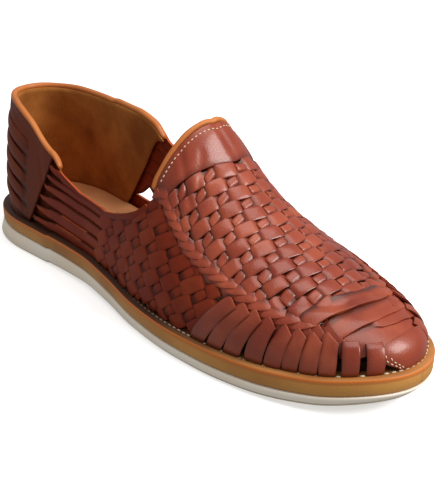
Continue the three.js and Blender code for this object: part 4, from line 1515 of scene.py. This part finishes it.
bm = new_bmesh()
for side in (OUTER, INNER):
    lining_half(bm, side)
bmesh.ops.remove_doubles(bm, verts=bm.verts, dist=2e-5)
lining = finish_piece(
    "suede_lining", bm, ["Counter leather", "Suede lining"], thickness=0.9
)
lining.modifiers["Leather thickness"].material_offset = 1


# %% [markdown]
# ## Rolled bindings
# A strip of tan leather is rolled over each raw edge. The roll is a grid wrapped round a line on
# the surface: one direction runs along the edge and the other goes once round the section. It
# swells and shrinks a little along its length, and both ends close in a rounded tuck.

# %% Bindings
def rolled_edge(bm, points, outward, upward, wide, high, steps):
    def place(t, q):
        index, along = t * (len(points) - 1), range(len(points))
        turn = math.pi * q
        taper = np.clip(1 - (2 * np.clip(np.abs(t - 0.5) - 0.485, 0, 1) / 0.03) ** 2, 0, 1) ** 0.5
        swell = 1 + 0.04 * np.sin(40 * t) + 0.03 * np.sin(23 * t + 1)
        out = rows_at(index, along, outward) * (np.cos(turn) * wide / 2 * taper * swell)[:, None]
        up = rows_at(index, along, upward) * (np.sin(turn) * high / 2 * taper * swell)[:, None]
        return rows_at(index, along, points) + out + up

    # Painted shade on the side of the roll that lies against the leather it binds
    def dip(t, q):
        return 0.25 * smooth_step((0.35 - np.abs(q + 0.5)) / 0.3)

    sheet_on(bm, place, steps, 14, tone=0.6, dip=dip)
    bmesh.ops.remove_doubles(bm, verts=bm.verts, dist=1e-6)
    bmesh.ops.recalc_face_normals(bm, faces=bm.faces)


def unit(vectors):
    return vectors / np.linalg.norm(vectors, axis=-1, keepdims=True)


inner_end, outer_end = (
    float(count_at(side, run_at(side, x))) for side, x in ((INNER, 118.0), (OUTER, 83.0))
)
collar = np.linspace(-inner_end, outer_end, 160)
collar_share = wall_value("top_share", collar)
up = unit(last_point(collar, collar_share) - last_point(collar, collar_share - 0.02))
out = unit(last_at(collar, collar_share, 1.0) - last_at(collar, collar_share, 0.0))
bm = new_bmesh()
rolled_edge(bm, last_at(collar, collar_share, -1.4) + up * 1.4, out, up, 3.6, 3.2, 200)
finish_piece("rolled_collar", bm, ["Binding leather"], replaces=["collar_binding"])


def throat_point(v, ahead, offset):
    return vamp_surface(throat_u(v) + ahead, v, offset + 0 * v)


throat_v = np.linspace(
    -float(vamp_edge(OUTER, THROAT_X + 2)) - 5.0, float(vamp_edge(INNER, THROAT_X + 2)) + 5.0, 120
)
edge = throat_point(throat_v, 0.0, 0.0)
out = unit(throat_point(throat_v, 0.0, 1.0) - edge)
back = unit(throat_point(throat_v, -2.0, 0.0) - edge)
bm = new_bmesh()
rolled_edge(bm, throat_point(throat_v, -1.4, -0.9), out, back, 3.6, 3.1, 160)
finish_piece("rolled_throat", bm, ["Binding leather"], replaces=["throat_binding"])


# %% [markdown]
# ## Stitches
# A stitch is a short bead of thread with pointed ends. One small sphere is stretched for each,
# and they are set out at equal steps along the welt, round the leaf and inside the binding.

# %% Stitches
def stitch_row(bm, points, normals, spacing, length, thick):
    arc = arc_lengths(points)
    size = Matrix.Diagonal((length / 2000, thick / 2000, thick / 2400, 1))
    for s in np.arange(spacing / 2, arc[-1], spacing):
        ahead = Vector(rows_at(s + 0.5, arc, points) - rows_at(s - 0.5, arc, points)).normalized()
        normal = Vector(rows_at(s, arc, normals)).normalized()
        side = normal.cross(ahead).normalized()
        turn = Matrix((ahead, side, normal)).transposed().to_4x4()
        place = Matrix.Translation(Vector(to_metres(rows_at(s, arc, points))))
        made = bmesh.ops.create_uvsphere(
            bm, u_segments=6, v_segments=4, radius=1, matrix=place @ turn @ size
        )
        for v in made["verts"]:
            for f in v.link_faces:
                f.smooth = True


bm = new_bmesh()
welt_end = THROAT_COLUMN - 4.5
welt_columns = np.linspace(welt_end, 2 * TIP_COLUMN - welt_end, 500)
turned = np.where(welt_columns > TIP_COLUMN, welt_columns - 2 * TIP_COLUMN, welt_columns)
flat = outline_point(turned, ledge_inset(edge_point(turned)[:, 0]) * 0.72)
welt = np.column_stack([flat, feather_height(flat[:, 0]) + 0.15])
stitch_row(bm, welt, np.tile([0.0, 0.0, 1.0], (len(welt), 1)), 3.3, 2.5, 0.85)
finish_piece("welt_stitches", bm, ["Welt thread"])

bm = new_bmesh()
inside_v = np.linspace(throat_v[0] + 6, throat_v[-1] - 6, 100)
inside = throat_point(inside_v, 2.0, 0.3)
stitch_row(bm, inside, throat_point(inside_v, 2.0, 1.3) - inside, 2.4, 1.6, 0.6)
for across, reach in ((-0.88, 0.62), (-0.76, 0.5), (0.88, 0.8)):
    climb = np.linspace(0.08, reach, 60)
    line, above = (leaf_place(LEAF_HEIGHT + up)(climb, across + 0 * climb) for up in (0.2, 1.2))
    stitch_row(bm, line, above - line, 2.2, 1.5, 0.55)
finish_piece("stitches", bm, ["Thread"])

# %% The footbed stays as the solid model has it, and gets its leather
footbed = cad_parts["insole"].data.materials
footbed.clear()
footbed.append(materials["Footbed leather"])

# %% [markdown]
# ## Floor, light and camera
# The shoe stands on a plain white sweep. A large soft light comes from the toe side and above, so
# the weave of the vamp shines and the heel falls into a soft shade. The floor is hidden from
# diffuse and glossy rays: a real one would throw its white up into the sides, and here the shoe
# keeps the deep shade of an object cut out of its picture. The camera looks down at the toe from
# the outer side, through a long lens.


# %% Floor
def place_in_scene(name, data):
    made = bpy.data.objects.new(name, data)
    bpy.context.scene.collection.objects.link(made)
    return made


bm = bmesh.new()
bmesh.ops.create_grid(bm, x_segments=8, y_segments=8, size=3.0)
mesh = bpy.data.meshes.new("studio_floor")
bm.to_mesh(mesh)
bm.free()
floor = place_in_scene("studio_floor", mesh)
tree, shader = new_material("Studio paper", 0.9)
shader.inputs["Base Color"].default_value = (0.9, 0.9, 0.9, 1)
shader.inputs["Emission Color"].default_value = (1, 1, 1, 1)
shader.inputs["Emission Strength"].default_value = 0.45
mesh.materials.append(materials["Studio paper"])
floor.visible_diffuse = False
floor.visible_glossy = False

# %% Lights
world = bpy.data.worlds.new("Studio")
bpy.context.scene.world = world
world.use_nodes = True
sky = world.node_tree.nodes["Background"].inputs
sky["Color"].default_value = (1, 1, 1, 1)
sky["Strength"].default_value = 0.4
LIT_POINT = Vector((0.02, 0, 0.03))


def soft_light(name, position, size, watts):
    data = bpy.data.lights.new(name, "AREA")
    data.shape = "RECTANGLE"
    data.size, data.size_y = size
    data.energy = watts
    lamp = place_in_scene(name, data)
    lamp.location = position
    lamp.rotation_euler = (LIT_POINT - Vector(position)).to_track_quat("-Z", "Y").to_euler()


soft_light("Key light", (0.85, 0.35, 0.75), (0.6, 0.45), 11)
soft_light("Top light", (0.15, 0.15, 1.3), (0.9, 0.9), 8.5)

# %% Camera: how it is turned, where it stands, and its focal length in pixels of the picture
TURN, TILT, ROLL = math.radians(43.02), math.radians(24.655), math.radians(0.3165)
STAND = (0.3316, -0.2840, 0.2248)
FOCAL_PIXELS, PICTURE_PIXELS, SENSOR = 924.63, 495, 36
toward = Vector((math.cos(TURN) * math.cos(TILT), -math.sin(TURN) * math.cos(TILT), math.sin(TILT)))
right = (-toward).cross(Vector((0, 0, 1))).normalized()
upright = right.cross(-toward)
across = math.cos(ROLL) * right + math.sin(ROLL) * upright
above = math.cos(ROLL) * upright - math.sin(ROLL) * right
camera_data = bpy.data.cameras.new("Camera")
camera_data.sensor_width = SENSOR
camera_data.lens = FOCAL_PIXELS * SENSOR / PICTURE_PIXELS
camera = place_in_scene("Camera", camera_data)
facing = Matrix((across, above, toward)).transposed().to_4x4()
camera.matrix_world = Matrix.Translation(STAND) @ facing
bpy.context.scene.camera = camera
bpy.context.scene.view_settings.view_transform = "Standard"
